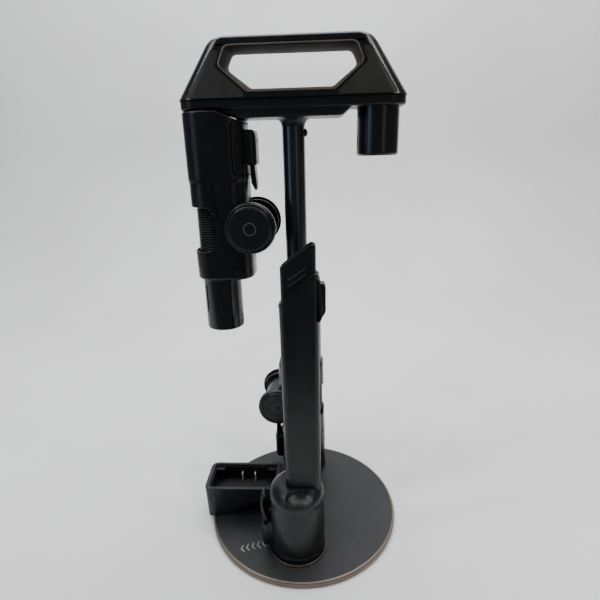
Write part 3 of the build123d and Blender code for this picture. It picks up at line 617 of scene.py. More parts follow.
def opening_outline(s, inset):
    """The six-sided hand opening, drawn in by inset, with rounded corners."""
    slant = inset * 0.8
    corners = [
        (-s["open_top_half"] + slant, s["open_top"] - inset),
        (-s["open_half"] + inset, s["open_mid"]),
        (-s["open_low_half"] + slant / 2, s["open_low"] + inset),
        (s["open_low_half"] - slant / 2, s["open_low"] + inset),
        (s["open_half"] - inset, s["open_mid"]),
        (s["open_top_half"] - slant, s["open_top"] - inset),
    ]
    return rounded_outline(corners, [OPENING_CORNER] * 6)


def drawn_in(corners, gap):
    """An anticlockwise polygon with every edge moved inwards by gap."""
    moved = []
    count = len(corners)
    for k in range(count):
        here = Vector(corners[k])
        before = (here - Vector(corners[k - 1])).normalized()
        after = (Vector(corners[(k + 1) % count]) - here).normalized()
        inwards = Vector((-before.y, before.x)) + Vector((-after.y, after.x))
        moved.append(here + inwards * (gap / (1 + before.dot(after))))
    return moved


def panel_outline(s, side, inset):
    """The matt panel beside the hand opening."""
    low, high = s["flange"] + 0.6, s["open_top"] - 4.5
    corners = [
        (s["open_low_half"] + 4.0, low),
        (s["half_length"] - 11.0, low),
        (GRIP_HALF_LENGTH - 3.0, high),
        (s["open_top_half"] + 5.0, high),
        (s["open_half"] + 2.5, s["open_mid"]),
        (s["open_low_half"] + 3.0, s["open_low"]),
    ]
    corners = drawn_in(corners, inset)
    outline = rounded_outline([(side * x, z) for x, z in corners],
                              [0.8, 3.0, 2.5, 2.0, 4.0, 0.8], 3)
    return outline if side > 0 else list(reversed(outline))


def grip_passage(s, reach):
    """The hole through the lining, narrowest half way, so that the grip feels round."""
    loops = []
    steps = 12
    for k in range(steps + 1):
        y = reach - 2 * reach * k / steps
        bulge = max(1 - (y / GRIP_HALF_DEPTH) ** 2, 0.0)
        outline = opening_outline(s, 2.0 + 3.2 * bulge)
        loops.append([(x, y, z) for x, z in outline])
    return skin(loops)


def make_head():
    s = head_sizes()
    reach = s["half_depth"] + 10
    shell = head_solid(s, 0.0, GRIP_FILLET)
    for side in (-1, 1):
        pocket = plate(panel_outline(s, side, 0.0), -reach, reach)
        shell = cut(shell, cut(pocket, head_solid(s, PANEL_DEPTH, 1.0)))
    shell = cut(shell, plate(opening_outline(s, 0.0), -reach, reach))
    soften(shell, 0.35, 2)
    piece(shell, "head_cover", "stand", "gloss_black", ["head_shell"])
    for name, side in (("left", -1), ("right", 1)):
        panel = meet(plate(panel_outline(s, side, PANEL_GAP), -reach, reach),
                     head_solid(s, 0.12, 1.0))
        panel = cut(panel, head_solid(s, PANEL_DEPTH - 0.02, 1.0))
        soften(panel, 0.25, 1)
        piece(panel, "head_panel_" + name, "stand", "panel_grey", ["side_panel_" + name])

    # trim: a dark lining, with a bright line where it meets the front and back of the head
    lining = meet(plate(opening_outline(s, 0.0), -reach, reach), head_solid(s, 1.0, 3.0))
    cut(lining, grip_passage(s, reach))
    soften(lining, 0.5, 3)
    piece(lining, "handle_lining", "stand", "lining", ["handle_trim"])
    line = meet(plate(opening_outline(s, 0.0), -reach, reach), head_solid(s, -0.3, 4.0))
    cut(line, plate(opening_outline(s, 1.3), -reach, reach), head_solid(s, 1.0, 3.0))
    soften(line, 0.3, 2)
    piece(line, "handle_line", "stand", "bronze_metal", ["handle_trim"])


def belly_curve(x, z):
    """The S-shaped end of the belly over a seated tool, whose axis is at x."""
    return [(x + BELLY_CURVE_START + BELLY_CURVE_RUN * t, z - BELLY_DROP * ease(t))
            for t in [k / 12 for k in range(13)]]


def make_head_frame():
    flange = head_sizes()["flange"]
    low, high = node_box("head_frame")
    half_x, half_y = high.x, high.y
    frame_low = node_box("peg_right")[1].z - PEG_SUNK
    belly_low = frame_low - BELLY_DROP

    def band(inset):
        return round_box(-half_x + inset, half_x - inset, -half_y + inset, half_y - inset,
                         max(16.5 - inset, 1), 10)

    frame_body = stack(lambda z, inset: band(inset),
                       rounded_ends(frame_low, flange, 2.6, 0.5, 5))
    tool_x = middle("left_tool_socket_sleeve").x
    curve = belly_curve(tool_x, frame_low)
    outline = curve + [(46.5, belly_low), (49.5, belly_low + 1.0), (58.0, frame_low),
                       (58.0, frame_low + 3), (curve[0][0], frame_low + 3)]
    belly = plate(outline, -22.0, 22.0)
    soften(belly, 2.2, 4, 50.0)
    neck = node_box("pole")[1].x + 0.25
    flare = 8.5
    rise = belly_low - low.z + 0.05
    turns = [math.radians(9.0 * k) for k in range(11)]
    profile = [(0.0, low.z)]
    profile += [(neck + flare * (1 - math.cos(a)), low.z + rise * math.sin(a)) for a in turns]
    profile += [(neck + flare, frame_low), (0.0, frame_low)]
    join(frame_body, belly, lathe(profile, 96))
    clear = TUBE_RADIUS + RUN_GAP
    peg = lathe([(0, belly_low - 2), (clear, belly_low - 2), (clear, frame_low),
                 (0, frame_low)], 72, (tool_x, 0, 0))
    cut(frame_body, peg)
    soften(frame_body, 0.5, 2, 40.0)
    piece(frame_body, "head_lower_frame", "stand", "satin_black", ["head_frame"])


def make_pegs():
    for name in ("peg_left", "peg_right"):
        low, high = node_box(name)
        centre = (low + high) / 2
        radius, top = TUBE_RADIUS, high.z - PEG_SUNK
        side = 1 if centre.x < 0 else -1
        profile = round_profile(
            [(radius - 3.2, low.z + 4), (radius - 3.2, low.z + 0.8), (radius - 2.0, low.z),
             (radius - 0.4, low.z + 1.6), (radius, low.z + 3.0), (radius, top),
             (radius - 3.2, top)],
            [0, 0.6, 0.8, 0.8, 0.8, 0, 0], 3)
        peg = lathe(profile, 96, (centre.x, centre.y, 0))
        floor = lathe([(0, low.z + 2.2), (radius - 1, low.z + 2.2), (radius - 1, low.z + 5),
                       (0, low.z + 5)], 48, (centre.x, centre.y, 0))
        join(peg, floor)
        edge = centre.x + side * radius
        slot = plate(round_box(edge - 5, edge + 5, top - 37, top - 26.6, 1.5, 4), -5, 5)
        cut(peg, slot)
        for angle, half, z0, z1 in ((-122, 3.4, low.z + 8, top - 9),
                                    (-140, 2.2, top - 7, top + 1)):
            ring = cut(plate(round_box(-half, half, z0, z1, half - 0.2, 5), -0.6, 0.6),
                       plate(round_box(-half + 0.7, half - 0.7, z0 + 0.7, z1 - 0.7,
                                       half - 0.9, 5), -1, 1))
            turn = Matrix.Rotation(math.radians(angle + 90), 4, "Z")
            ring.data.transform(Matrix.Translation(Vector((centre.x, centre.y, 0)) * MM) @ turn
                                @ Matrix.Translation((0, -radius * MM, 0)))
            cut(peg, ring)
        piece(peg, name + "_body", "stand", "gloss_black", [name])


# ---- folding tool -------------------------------------------------------------------
def casing_section(inset, further=0.0):
    x0, x1 = CASING_X
    return round_box(x0 + inset, x1 - inset + further, -CASING_HALF_DEPTH + inset,
                     CASING_HALF_DEPTH - inset, CASING_CORNER - inset, 12)


def casing(z0, z1, fillet0, fillet1, inset=0.0):
    return stack(lambda z, drawn: casing_section(inset + drawn),
                 rounded_ends(z0, z1, fillet0, fillet1, 5))


def hose_window():
    outline = round_box(CASING_X[0] - 20, WINDOW_RIGHT, WINDOW_Z[0], WINDOW_Z[1],
                        [1, WINDOW_CORNER, WINDOW_CORNER, 1], 12)
    return plate(outline)


def across(radius, y0, y1, at):
    """A solid cylinder along Y; at gives its x and z."""
    return lathe([(0, y0), (radius, y0), (radius, y1), (0, y1)], 72, (at.x, 0, at.z), "+Y")


def socket_bore(radius, depth):
    return lathe([(0, -depth), (radius, -depth), (radius, 5), (0, 5)], 72)


def slope_cut():
    """What the head's belly takes off the top of a seated casing."""
    line = belly_curve(0, -0.4)
    return plate(line + [(70, line[-1][1]), (70, 8), (BELLY_CURVE_START, 8)])


def waisted(levels, shift=0.0):
    """Draws a casing's levels in below its waist, and a little more towards its foot."""
    low = levels[0][0]
    drawn = []
    for z, inset in levels:
        t = min(max((WAIST_TOP - z) / 6.0, 0.0), 1.0)
        foot = shift * (levels[-1][0] - z) / (levels[-1][0] - low)
        drawn.append((z, inset + WAIST * ease(t) + foot))
    return drawn


def make_tool_upper(prefix, place, body):
    hinge = middle(prefix + "_hinge_pin", place)
    cheek_face = node_box(prefix + "_upper_casing", place)[1].y
    parting = hinge.z + 0.2
    levels = rounded_ends(parting, 0, 0.6, 2.2, 5)
    middle_levels = [(WAIST_TOP - 6.0 + k, 0.0) for k in range(8)]
    levels = sorted(levels + middle_levels)
    shell = stack(lambda z, drawn: casing_section(drawn), waisted(levels))
    cut(shell, casing(parting - 2, -CASING_WALL, 0, 1.0, CASING_WALL + WAIST))
    cut(shell, hose_window(), slope_cut(),
        across(CHEEK_RADIUS + RUN_GAP, -CHEEK_INSIDE, CHEEK_INSIDE, hinge))
    for side in (-1, 1):
        cheek = across(CHEEK_RADIUS, *sorted((side * (CHEEK_INSIDE + 0.2), side * cheek_face)),
                       hinge)
        join(shell, cheek)
    cut(shell, socket_bore(node_box(prefix + "_socket_sleeve", place)[1].x, 50))
    cut(shell, panel_groove(), side_seam())
    soften(shell, 0.7, 3)
    piece(shell, prefix + "_casing_top", body, "tool_black", [prefix + "_upper_casing"], place)


def panel_groove():
    """A thin groove that frames the panel wrapped round the casing's hinge side."""
    outer = plate(round_box(25.0, 60.0, -60.7, -11.3, 4.0, 6))
    inner = plate(round_box(25.5, 62.0, -60.2, -11.8, 3.5, 6), -42, 42)
    return cut(outer, inner, casing(-120, 6, 0, 0, 0.5))


def side_seam():
    """The fine seam between the casing's two mouldings, from the hose window upwards."""
    seam = plate([(5.8, WINDOW_Z[1] - 12), (6.2, WINDOW_Z[1] - 12), (3.2, WAIST_TOP - 4),
                  (2.8, WAIST_TOP - 4)])
    return cut(seam, casing(-120, 6, 0, 0, WAIST + 0.4))


def make_tool_lower(prefix, place, body):
    hinge = middle(prefix + "_hinge_pin", place)
    low = node_box(prefix + "_lower_casing", place)[0]
    parting = hinge.z - 0.2
    shell = stack(lambda z, drawn: casing_section(drawn, SKIRT_FURTHER),
                  waisted(rounded_ends(low.z, parting, 3.0, 0.6, 5), 0.8))
    cut(shell, casing(low.z + 3, parting + 2, 2.0, 0, CASING_WALL + WAIST))
    cut(shell, hose_window())
    for side in (-1, 1):
        room = across(CHEEK_RADIUS + RUN_GAP, *sorted((side * (CHEEK_INSIDE - 0.2), side * 40)),
                      hinge)
        cut(shell, room)
    knuckle = across(KNUCKLE_RADIUS, -CHEEK_INSIDE + 0.2, CHEEK_INSIDE - 0.2, hinge)
    cut(knuckle, plate(round_box(-40, 22.5, low.z, 20, 1, 2)))
    join(shell, knuckle)
    cut(shell, lathe([(0, low.z - 3), (21.2, low.z - 3), (21.2, low.z + 4.2),
                      (0, low.z + 4.2)], 72))
    soften(shell, 0.7, 3)
    piece(shell, prefix + "_casing_skirt", body, "tool_black", [prefix + "_lower_casing"], place)

    tube_low, tube_high = node_box(prefix + "_male_tube", place)
    radius, wall = TUBE_RADIUS, TUBE_WALL
    profile = round_profile(
        [(radius - wall, tube_low.z), (radius, tube_low.z), (radius, tube_high.z),
         (radius - wall, tube_high.z)], [0.6, 1.4, 0.3, 0.3])
    tube = lathe(profile, 96)
    for angle, width, z0, z1 in ((TUBE_SLOT_ANGLE, 2.0, tube_low.z + 14, low.z - 4),
                                 (TUBE_SLOT_ANGLE - 90, 1.4, tube_low.z + 20, low.z - 8),
                                 (TUBE_SLOT_ANGLE + 42, 3.0, tube_low.z + 5, tube_low.z + 13)):
        slot = plate(round_box(-width, width, z0, z1, 1.3, 4), radius - 0.9, radius + 3)
        slot.data.transform(Matrix.Rotation(math.radians(angle - 90), 4, "Z"))
        cut(tube, slot)
    soften(tube, 0.25, 2)
    piece(tube, prefix + "_tube", body, "gloss_black", [prefix + "_male_tube"], place)
    collar = lathe(round_profile(
        [(radius, low.z - 2.2), (radius + 1.1, low.z - 2.2), (radius + 1.1, low.z + 1),
         (radius, low.z + 1)], [0, 0.5, 0, 0]), 96)
    piece(collar, prefix + "_tube_collar", body, "satin_black", place=place)


def make_hose(prefix, place):
    """A bellows hose between the two halves of the tool, drawn straight; it rides on neither
    half.
    """
    low, high = node_box(prefix + "_bellows_hose", place)
    crest = high.x
    count = round((high.z - low.z) / RIB_PITCH)
    pitch = (high.z - low.z) / count
    outside = []
    steps = 6
    for rib in range(count):
        for k in range(steps):
            wave = 0.5 - 0.5 * math.cos(2 * math.pi * k / steps)
            outside.append((crest - RIB_DEPTH + RIB_DEPTH * wave ** 0.7,
                            low.z + pitch * (rib + k / steps)))
    outside.append((crest - RIB_DEPTH, high.z))
    inner = crest - RIB_DEPTH - 0.8
    levels = [(inner, high.z - (high.z - low.z) * k / 24) for k in range(25)]
    hose = lathe(outside + levels, 72)
    piece(hose, prefix + "_hose", None, "hose_black", [prefix + "_bellows_hose"], place)
    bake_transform(hose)


def make_knob(prefix, place, upper, press):
    """The round push button, its stepped bezel and the cap at the back."""
    low, high = node_box(prefix + "_button_bezel", place)
    centre = (low + high) / 2
    radius = (high.x - low.x) / 2
    face = high.y
    height = high.y - low.y
    inner = radius - 3.0
    at = (centre.x, face, centre.z)
    profile = round_profile(
        [(inner, 0), (radius, 0), (radius, height - 3.6), (radius - 0.5, height - 3.1),
         (radius - 0.5, height - 1.4), (radius - 1.7, height), (inner, height),
         (inner, height - 1.0)],
        [0, 0.3, 0.4, 0.3, 0.9, 0.6, 0.4, 0.2])
    bezel = lathe(profile, 120, at, "-Y")
    piece(bezel, prefix + "_bezel", upper, "knob_black", [prefix + "_button_bezel"], place)

    low, high = node_box(prefix + "_push_button", place)
    radius = (high.x - low.x) / 2
    base, top = face - high.y, face - low.y
    profile = round_profile(
        [(0, base), (radius, base), (radius, top - 1.4), (radius - 0.9, top - 0.3),
         (radius - 1.9, top), (radius - 2.7, top - 0.5), (radius * 0.45, top - 0.9),
         (0, top - 1.0)],
        [0, 0.3, 0.7, 0.5, 0.6, 0.6, 1.5, 0])
    button = lathe(profile, 120, at, "-Y")
    piece(button, prefix + "_button", press, "knob_black", [prefix + "_push_button"], place)
    depth = top - 0.93
    mark = lathe(round_profile(
        [(5.6, depth - 0.2), (6.7, depth - 0.2), (6.7, depth + 0.1), (5.6, depth + 0.1)],
        [0, 0, 0.1, 0.1], 2), 72, at, "-Y")
    piece(mark, prefix + "_button_ring_mark", press, "mark_grey", place=place)

    low, high = node_box(prefix + "_back_cap", place)
    radius, height = (high.x - low.x) / 2, high.y - low.y
    profile = round_profile(
        [(0, 0), (radius, 0), (radius, height - 1.8), (radius - 1.8, height),
         (radius - 5, height), (radius - 5.6, height - 0.7), (radius - 6.6, height - 0.7),
         (radius - 7.2, height - 0.1), (0, height - 0.3)],
        [0, 0.3, 0.8, 0.8, 0.3, 0.2, 0.2, 0.3, 0])
    cap = lathe(profile, 120, (centre.x, low.y, centre.z), "+Y")
    piece(cap, prefix + "_cap", upper, "knob_black", [prefix + "_back_cap"], place)


def make_socket(prefix, place, body):
    low, high = node_box(prefix + "_socket_sleeve", place)
    outer = high.x
    profile = round_profile(
        [(outer - 2.0, low.z), (outer, low.z), (outer, high.z - 0.6), (outer - 0.3, high.z),
         (outer - 1.3, high.z), (outer - 2.0, high.z - 0.9)], [0.3, 0, 0.2, 0.2, 0.4, 0.3])
    sleeve = lathe(profile, 96)
    cut(sleeve, slope_cut())
    piece(sleeve, prefix + "_sleeve", body, "satin_black", [prefix + "_socket_sleeve"], place)


# ---- release latch ------------------------------------------------------------------
def make_latch(prefix, place, body, lever_body, wall_solid, look, hooked=False):
    """The block on a socket's side and the sprung finger that hangs below it."""
    low, high = node_box(prefix + "_latch_block", place)
    lever_low, lever_high = node_box(prefix + "_latch_lever", place)
    half = (high.y - low.y) / 2
    lip = 1.0
    outline = [(low.x - 3, low.z), (high.x - lip, low.z), (high.x, low.z + lip),
               (high.x, high.z - 7.5), (high.x - 1.6, high.z - 1.4), (high.x - 3.6, high.z),
               (low.x - 3, high.z)]
    block = plate(outline, -half, half)
    soften(block, 1.6, 3, 60.0)
    corners = upright(round_box(low.x - 20, high.x, -half, half, [0.5, 6.0, 6.0, 0.5], 6),
                      low.z - 2, high.z + 2)
    meet(block, corners)
    line_z = high.z - (high.z - low.z) * 0.3
    groove = plate(round_box(high.x - 0.7, high.x + 4, line_z - 0.35, line_z + 0.35, 0.1, 1),
                   -half - 2, half + 2)
    cut(block, groove)
    room = plate(round_box(lever_low.x + 7, high.x - 2.2, low.z - 6, low.z + 22, 0.6, 2),
                 -FINGER_HALF - RUN_GAP, FINGER_HALF + RUN_GAP)
    cut(block, room, wall_solid)
    soften(block, 0.3, 2)
    piece(block, prefix + "_latch_body", body, look, [prefix + "_latch_block"], place)

    inner, outer, tip = lever_high.x - 6.1, lever_high.x - 1.6, lever_low.z
    top = lever_high.z
    body_low = low.z
    length = body_low - tip
    outline = [(inner, top), (outer, top), (outer, body_low + 1)]
    if hooked:
        outline += [
            (outer + 1.2, body_low - 2.0), (outer + 3.0, body_low - 0.35 * length),
            (outer + 4.0, tip + 0.4 * length), (outer + 3.4, tip + 0.17 * length),
            (outer + 1.6, tip + 1.2), (outer - 0.8, tip), (outer - 3.0, tip + 1.4),
            (outer - 3.0, tip + 3.6), (outer - 0.6, tip + 4.0), (outer + 0.3, tip + 0.2 * length),
            (outer + 0.6, tip + 0.4 * length), (outer - 1.2, body_low - 0.35 * length),
            (inner, body_low - 3.0),
        ]
    else:
        outline += [
            (outer + 0.6, body_low - 1.2), (outer + 1.0, body_low - 0.3 * length),
            (outer + 1.6, tip + 0.25 * length), (outer + 1.5, tip + 2.4), (outer + 0.4, tip),
            (outer - 0.6, tip + 0.6), (inner + 0.4, tip + 0.3 * length),
            (inner + 0.2, body_low - 0.3 * length), (inner, body_low - 1.6),
        ]
    finger = plate(outline, -FINGER_HALF, FINGER_HALF)
    taper_finger(finger, tip, body_low)
    soften(finger, 0.7, 3, 25.0)
    piece(finger, prefix + "_latch_finger", lever_body, look, [prefix + "_latch_lever"], place)


def taper_finger(finger, tip, root):
    """Draws a finger's sides in towards its tip."""
    for vertex in finger.data.vertices:
        share = min(max((root - vertex.co.z / MM) / (root - tip), 0.0), 1.0)
        vertex.co.y *= 1 - 0.34 * share ** 2.2


def make_folding_tool(prefix, turned_over):
    low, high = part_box(prefix + "_socket_sleeve")
    axis = (low + high) / 2
    place = Matrix.Translation((axis.x, axis.y, low.z if turned_over else high.z))
    if turned_over:
        place = place @ Matrix.Rotation(math.pi, 4, "Y")
    upper, lower = prefix + "_upper", prefix + "_lower"
    make_tool_upper(prefix, place, upper)
    make_tool_lower(prefix, place, lower)
    make_hose(prefix, place)
    make_knob(prefix, place, upper, prefix + "_button")
    make_socket(prefix, place, upper)
    make_latch(prefix, place, upper, prefix + "_latch", casing(-113, 0, 0, 0), "tool_black")


# ---- crevice tool -------------------------------------------------------------------
def slanted_top(x0, x1, low_tip, high_tip):
    """What is taken off above a slanted mouth: low on the left, high on the right."""
    turn = x1 - MOUTH_PEAK * (x1 - x0)
    slope = (high_tip - low_tip) / (turn - x0)
    outline = [(x0 - 9, low_tip - 9 * slope), (turn - 3, high_tip - 3 * slope),
               (turn, high_tip - 0.6), (turn + 2.0, high_tip - 0.2), (x1 + 9, high_tip - 4.5),
               (x1 + 9, high_tip + 60), (x0 - 9, high_tip + 60)]
    return plate(outline)


def slanted_under(x0, x1, low_tip, high_tip):
    """What is taken off below a slanted band."""
    turn = x1 - MOUTH_PEAK * (x1 - x0)
    slope = (high_tip - low_tip) / (turn - x0)
    outline = [(x0 - 9, low_tip - 60), (x1 + 9, low_tip - 60), (x1 + 9, high_tip - 4.5),
               (turn, high_tip - 0.4), (x0 - 9, low_tip - 9 * slope)]
    return plate(outline)


def duct(x0, x1, half_y, corner, z0, z1, wall):
    """An upright duct with a rounded rectangular section."""
    tube = upright(round_box(x0, x1, -half_y, half_y, corner, 8), z0, z1)
    bore = upright(round_box(x0 + wall, x1 - wall, -half_y + wall, half_y - wall,
                             max(corner - wall, 0.5), 8), z0 - 2, z1 + 2)
    return cut(tube, bore)


def blade_sides(place):
    """The blade's left and right faces and half its depth."""
    centre = middle("crevice_extension", place).x
    return centre - 20.0, centre + 20.0, node_box("crevice_blade", place)[1].y


def make_crevice_collar(place):
    """The domed socket, with a thumb scoop in front of the blade."""
    low, high = node_box("crevice_collar", place)
    radius, base, top = -low.x, low.z, high.z
    x0, x1, half_y = blade_sides(place)
    bore, shoulder, bore_top = 20.4, 15.0, base + 50
    dome = arc((radius - shoulder, top - shoulder), shoulder, 0, 90, 10)
    profile = [(bore, base + 1.0), (bore + 0.8, base), (radius - 0.8, base),
               (radius, base + 0.8), (radius, base + 5.0), (radius - 0.5, base + 5.6),
               (radius - 0.5, base + 7.0), (radius, base + 7.6), (radius, base + 40),
               (radius - 0.9, top - 24), (radius - 1.1, top - 19)]
    collar = lathe(profile + dome + [(0, top), (0, bore_top), (bore, bore_top)], 120)
    cut(collar, upright(round_box(x0, x1, -half_y, half_y, BLADE_CORNER, 8), top - 24, top + 4))
    scoop = lathe(arc((0, 0), 10, -90, 90, 24), 64)
    scoop.data.transform(Matrix.Diagonal((2.3, 2.1, 1.3, 1)))
    scoop_at = Vector(((x0 + x1) / 2 - 2, -radius - 2.0, top + 1.5))
    scoop.data.transform(Matrix.Translation(scoop_at * MM))
    cut(collar, scoop)
    soften(collar, 0.6, 3)
    piece(collar, "crevice_socket", "crevice", "crevice_black", ["crevice_collar"], place)


def make_crevice_latch(place):
    low = node_box("crevice_collar", place)[0]
    radius = -low.x
    half_turn = place @ Matrix.Translation((0, 0, low.z * MM)) @ Matrix.Rotation(math.pi, 4, "Y")
    wall = lathe([(0, -200), (radius, -200), (radius, 5), (0, 5)], 96)
    make_latch("crevice", half_turn, "crevice", "crevice_latch", wall, "crevice_black", True)


def button_room(x0, x1, low, high):
    """The room round the release button."""
    return plate(round_box(x0, x1 + 8, low.z - BUTTON_GAP, high.z + BUTTON_GAP, 0.6, 3),
                 low.y - BUTTON_GAP, high.y + BUTTON_GAP)


def make_crevice_blade(place):
    """The blade, with a lip round its slanted mouth and a guide for the release button."""
    low, high = node_box("crevice_blade", place)
    x0, x1, half_y = blade_sides(place)
    tip_low, tip_high = high.z - 32.0, high.z
    blade = duct(x0, x1, half_y, BLADE_CORNER, low.z, tip_high + 2, BLADE_WALL)
    button_low, button_high = node_box("crevice_release_button", place)
    button_mid = (button_low.z + button_high.z) / 2
    z0, z1 = button_mid - 22.0, button_mid + 21.0
    guide = plate(rounded_outline(
        [(x1 - 1.5, z0), (x1 + 1.2, z0), (x1 + 3.4, z0 + 5.0), (x1 + 3.4, button_low.z + 14.0),
         (x1 + 1.4, z1), (x1 - 1.5, z1)], [0.1, 3.0, 2.5, 8.0, 1.0, 0.1], 5), -8.5, 8.5)
    soften(guide, 1.2, 3, 40.0)
    cut(guide, button_room(x1 + 0.6, x1, button_low, button_high))
    piece(guide, "crevice_button_guide", "crevice", "crevice_black", place=place)
    cut(blade, slanted_top(x0, x1, tip_low, tip_high))
    lip = duct(x0 - 0.5, x1 + 0.5, half_y + 0.5, BLADE_CORNER + 0.5, tip_low - 8,
               tip_high + 2, 0.8)
    cut(lip, slanted_top(x0, x1, tip_low - 0.3, tip_high - 0.3),
        slanted_under(x0, x1, tip_low - 3.2, tip_high - 3.2))
    piece(lip, "crevice_duct_lip", "crevice", "crevice_black", place=place)
    cut(blade, button_room(x1 - 3, x1, button_low, button_high))
    soften(blade, 0.55, 3)
    piece(blade, "crevice_duct", "crevice", "crevice_black", ["crevice_blade"], place)


def diagonal_rib(low, z):
    """A raised rib across the front of the sliding extension, with a bump at its end."""
    x0 = low.x + 8.5
    x1 = x0 + 17.0
    rise, half = 12.0, 0.7
    outline = [(x0, z - half), (x1, z + rise - half), (x1, z + rise + half),
               (x0 + 0.9, z + half + 0.7), (x0 - 0.5, z + 1.5), (x0 - 1.3, z + 1.1)]
    return plate(outline, low.y - 1.0, low.y + 0.8)


def make_crevice_extension(place):
    low, high = node_box("crevice_extension", place)
    tip_low = high.z - 23.0
    tongue = duct(low.x, high.x, high.y, EXTENSION_CORNER, low.z, high.z + 2, EXTENSION_WALL)
    cut(tongue, slanted_top(low.x, high.x, tip_low, high.z))
    soften(tongue, 0.5, 3)
    ribs = join(diagonal_rib(low, tip_low - 11.5), diagonal_rib(low, tip_low - 17.7))
    soften(ribs, 0.35, 2)
    # The ribs take a lighter black than the tongue: a painted highlight along their edges.
    piece(ribs, "crevice_tongue_ribs", "crevice_tip", "painted_highlight_black", place=place)
    piece(tongue, "crevice_tongue", "crevice_tip", "crevice_black", ["crevice_extension"], place)


def make_release_button(place):
    low, high = node_box("crevice_release_button", place)
    outline = [(low.x, low.z), (high.x - 2.6, low.z), (high.x, low.z + 5.5),
               (high.x, high.z - 3.5), (high.x - 1.6, high.z), (low.x, high.z)]
    release = plate(rounded_outline(outline, [0.3, 2.5, 5.0, 2.5, 1.0, 0.3], 4),
                    low.y, high.y)
    soften(release, 0.9, 3, 40.0)
    piece(release, "crevice_release", "crevice_button", "crevice_black",
          ["crevice_release_button"], place)


def make_crevice_tool():
    post = middle("front_post")
    place = Matrix.Translation(Vector((post.x, post.y, 0)) * MM)
    make_crevice_collar(place)
    make_crevice_blade(place)
    make_crevice_extension(place)
    make_release_button(place)
    make_crevice_latch(place)


# ---- battery charging dock ----------------------------------------------------------
def make_dock():
    low, high = node_box("dock_housing")
    tray_low, tray_high = node_box("dock_tray")
    left, right = low.x, high.x

    def outline(z, inset):
        t = (z - low.z) / (high.z - low.z)
        front = low.y + DOCK_UNDERCUT * (1 - t)
        corners = [(left + inset, low.y + inset), (right - inset, front + inset),
                   (right - inset, high.y - inset), (left + inset, high.y - inset)]
        return rounded_outline(corners, [DOCK_CORNER, 3.0, 3.0, DOCK_CORNER], 8)

    body = stack(outline, rounded_ends(low.z, high.z, 0.4, 1.3, 4))
    pocket = upright(round_box(tray_low.x, tray_high.x, tray_low.y, tray_high.y, 3.0, 5),
                     tray_low.z, high.z + 5)
    cut(body, pocket)
    inlet = middle("power_inlet")
    hole = lathe([(0, -12), (5.7, -12), (5.7, 3), (0, 3)], 48,
                 (inlet.x, high.y, inlet.z), "+Y")
    cut(body, hole)
    soften(body, 0.6, 3)
    piece(body, "dock_body", "stand", "dock_plastic", ["dock_housing"])


# ---- stage --------------------------------------------------------------------------
def make_stage():
    """A plain pale floor that curves up behind the object."""
    half, front, back, radius, height = 1.7, -0.42, 0.75, 0.5, 2.2
    line = [(front, 0.0), (back, 0.0)]
    line += [(back + radius * math.sin(a), radius - radius * math.cos(a))
             for a in [math.pi / 2 * k / 16 for k in range(1, 17)]]
    line.append((back + radius, height))
    points = [(x, y, z) for y, z in line for x in (-half, half)]
    faces = [(2 * k, 2 * k + 1, 2 * k + 3, 2 * k + 2) for k in range(len(line) - 1)]
    mesh = bpy.data.meshes.new("floor")
    mesh.from_pydata(points, [], faces)
    mesh.shade_smooth()
    floor = bpy.data.objects.new("floor", mesh)
    bpy.context.scene.collection.objects.link(floor)
    material, nodes, links, shader = new_material("floor")
    coordinates = nodes.new("ShaderNodeTexCoord").outputs["Object"]
    cloud = noise(nodes, links, coordinates, 2.0)
    links.new(ramp(nodes, links, cloud, (0.70, 0.69, 0.68), (0.76, 0.755, 0.75)),
              shader.inputs["Base Color"])
    shader.inputs["Roughness"].default_value = 0.85
    mesh.materials.append(material)


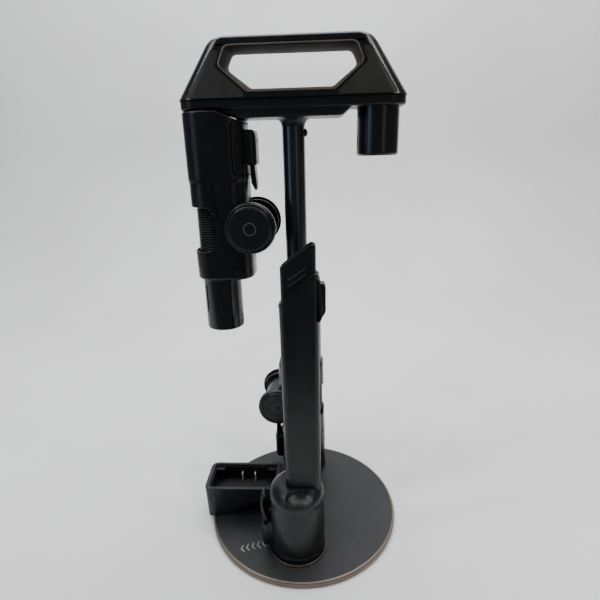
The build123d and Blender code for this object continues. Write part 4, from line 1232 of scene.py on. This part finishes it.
def add_light(name, at, target, size, power, colour):
    data = bpy.data.lights.new(name, "AREA")
    data.shape = "RECTANGLE"
    data.size, data.size_y = size
    data.energy = power
    data.color = colour
    light = bpy.data.objects.new(name, data)
    bpy.context.scene.collection.objects.link(light)
    light.location = at
    direction = Vector(target) - Vector(at)
    light.rotation_euler = direction.to_track_quat("-Z", "Y").to_euler()
    return light


def make_lights():
    for side, colour in ((-1, (0.93, 0.96, 1.0)), (1, (1.0, 0.97, 0.93))):
        for x, y, z in ((1.1, -1.03, 1.6), (1.24, -0.46, 1.85)):
            add_light("window", (side * x, y, z), (side * 0.1, 0, 0.53), (0.2, 0.7), 8.0,
                      colour)
    add_light("blue", (-1.2, -1.0, 0.5), (0, 0, 0.3), (0.5, 0.8), 2.4, (0.45, 0.68, 1.0))
    add_light("warm", (0.8, -1.4, 0.5), (0, 0, 0.3), (0.3, 0.8), 0.8, (1.0, 0.74, 0.6))
    add_light("top", (0.0, 0.4, 2.1), (0, 0.3, 0.0), (2.0, 1.6), 50, (0.97, 0.985, 1.0))
    add_light("back", (0.0, 0.35, 1.7), (0, 1.3, 0.9), (2.4, 0.6), 12, (0.95, 0.975, 1.0))
    world = bpy.data.worlds.new("world")
    world.use_nodes = True
    world.node_tree.nodes["Background"].inputs["Color"].default_value = (0.88, 0.94, 1.0, 1)
    world.node_tree.nodes["Background"].inputs["Strength"].default_value = 0.14
    bpy.context.scene.world = world


def make_camera():
    data = bpy.data.cameras.new("camera")
    data.lens = CAMERA_LENS
    data.sensor_width = 36.0
    camera = bpy.data.objects.new("camera", data)
    bpy.context.scene.collection.objects.link(camera)
    turn = Matrix.Rotation(math.radians(CAMERA_TURN), 4, "Z")
    down = Matrix.Rotation(math.radians(90 - CAMERA_DOWN), 4, "X")
    roll = Matrix.Rotation(math.radians(CAMERA_ROLL), 4, "Z")
    camera.matrix_world = Matrix.Translation(Vector(CAMERA_AT) * MM) @ turn @ down @ roll
    bpy.context.scene.camera = camera


make_camera()
make_stage()
make_lights()
make_base()
make_arrowheads()
make_post_rings()
make_pole()
make_head()
make_head_frame()
make_pegs()
make_folding_tool("left_tool", False)
make_folding_tool("rear_tool", True)
make_crevice_tool()
make_dock()
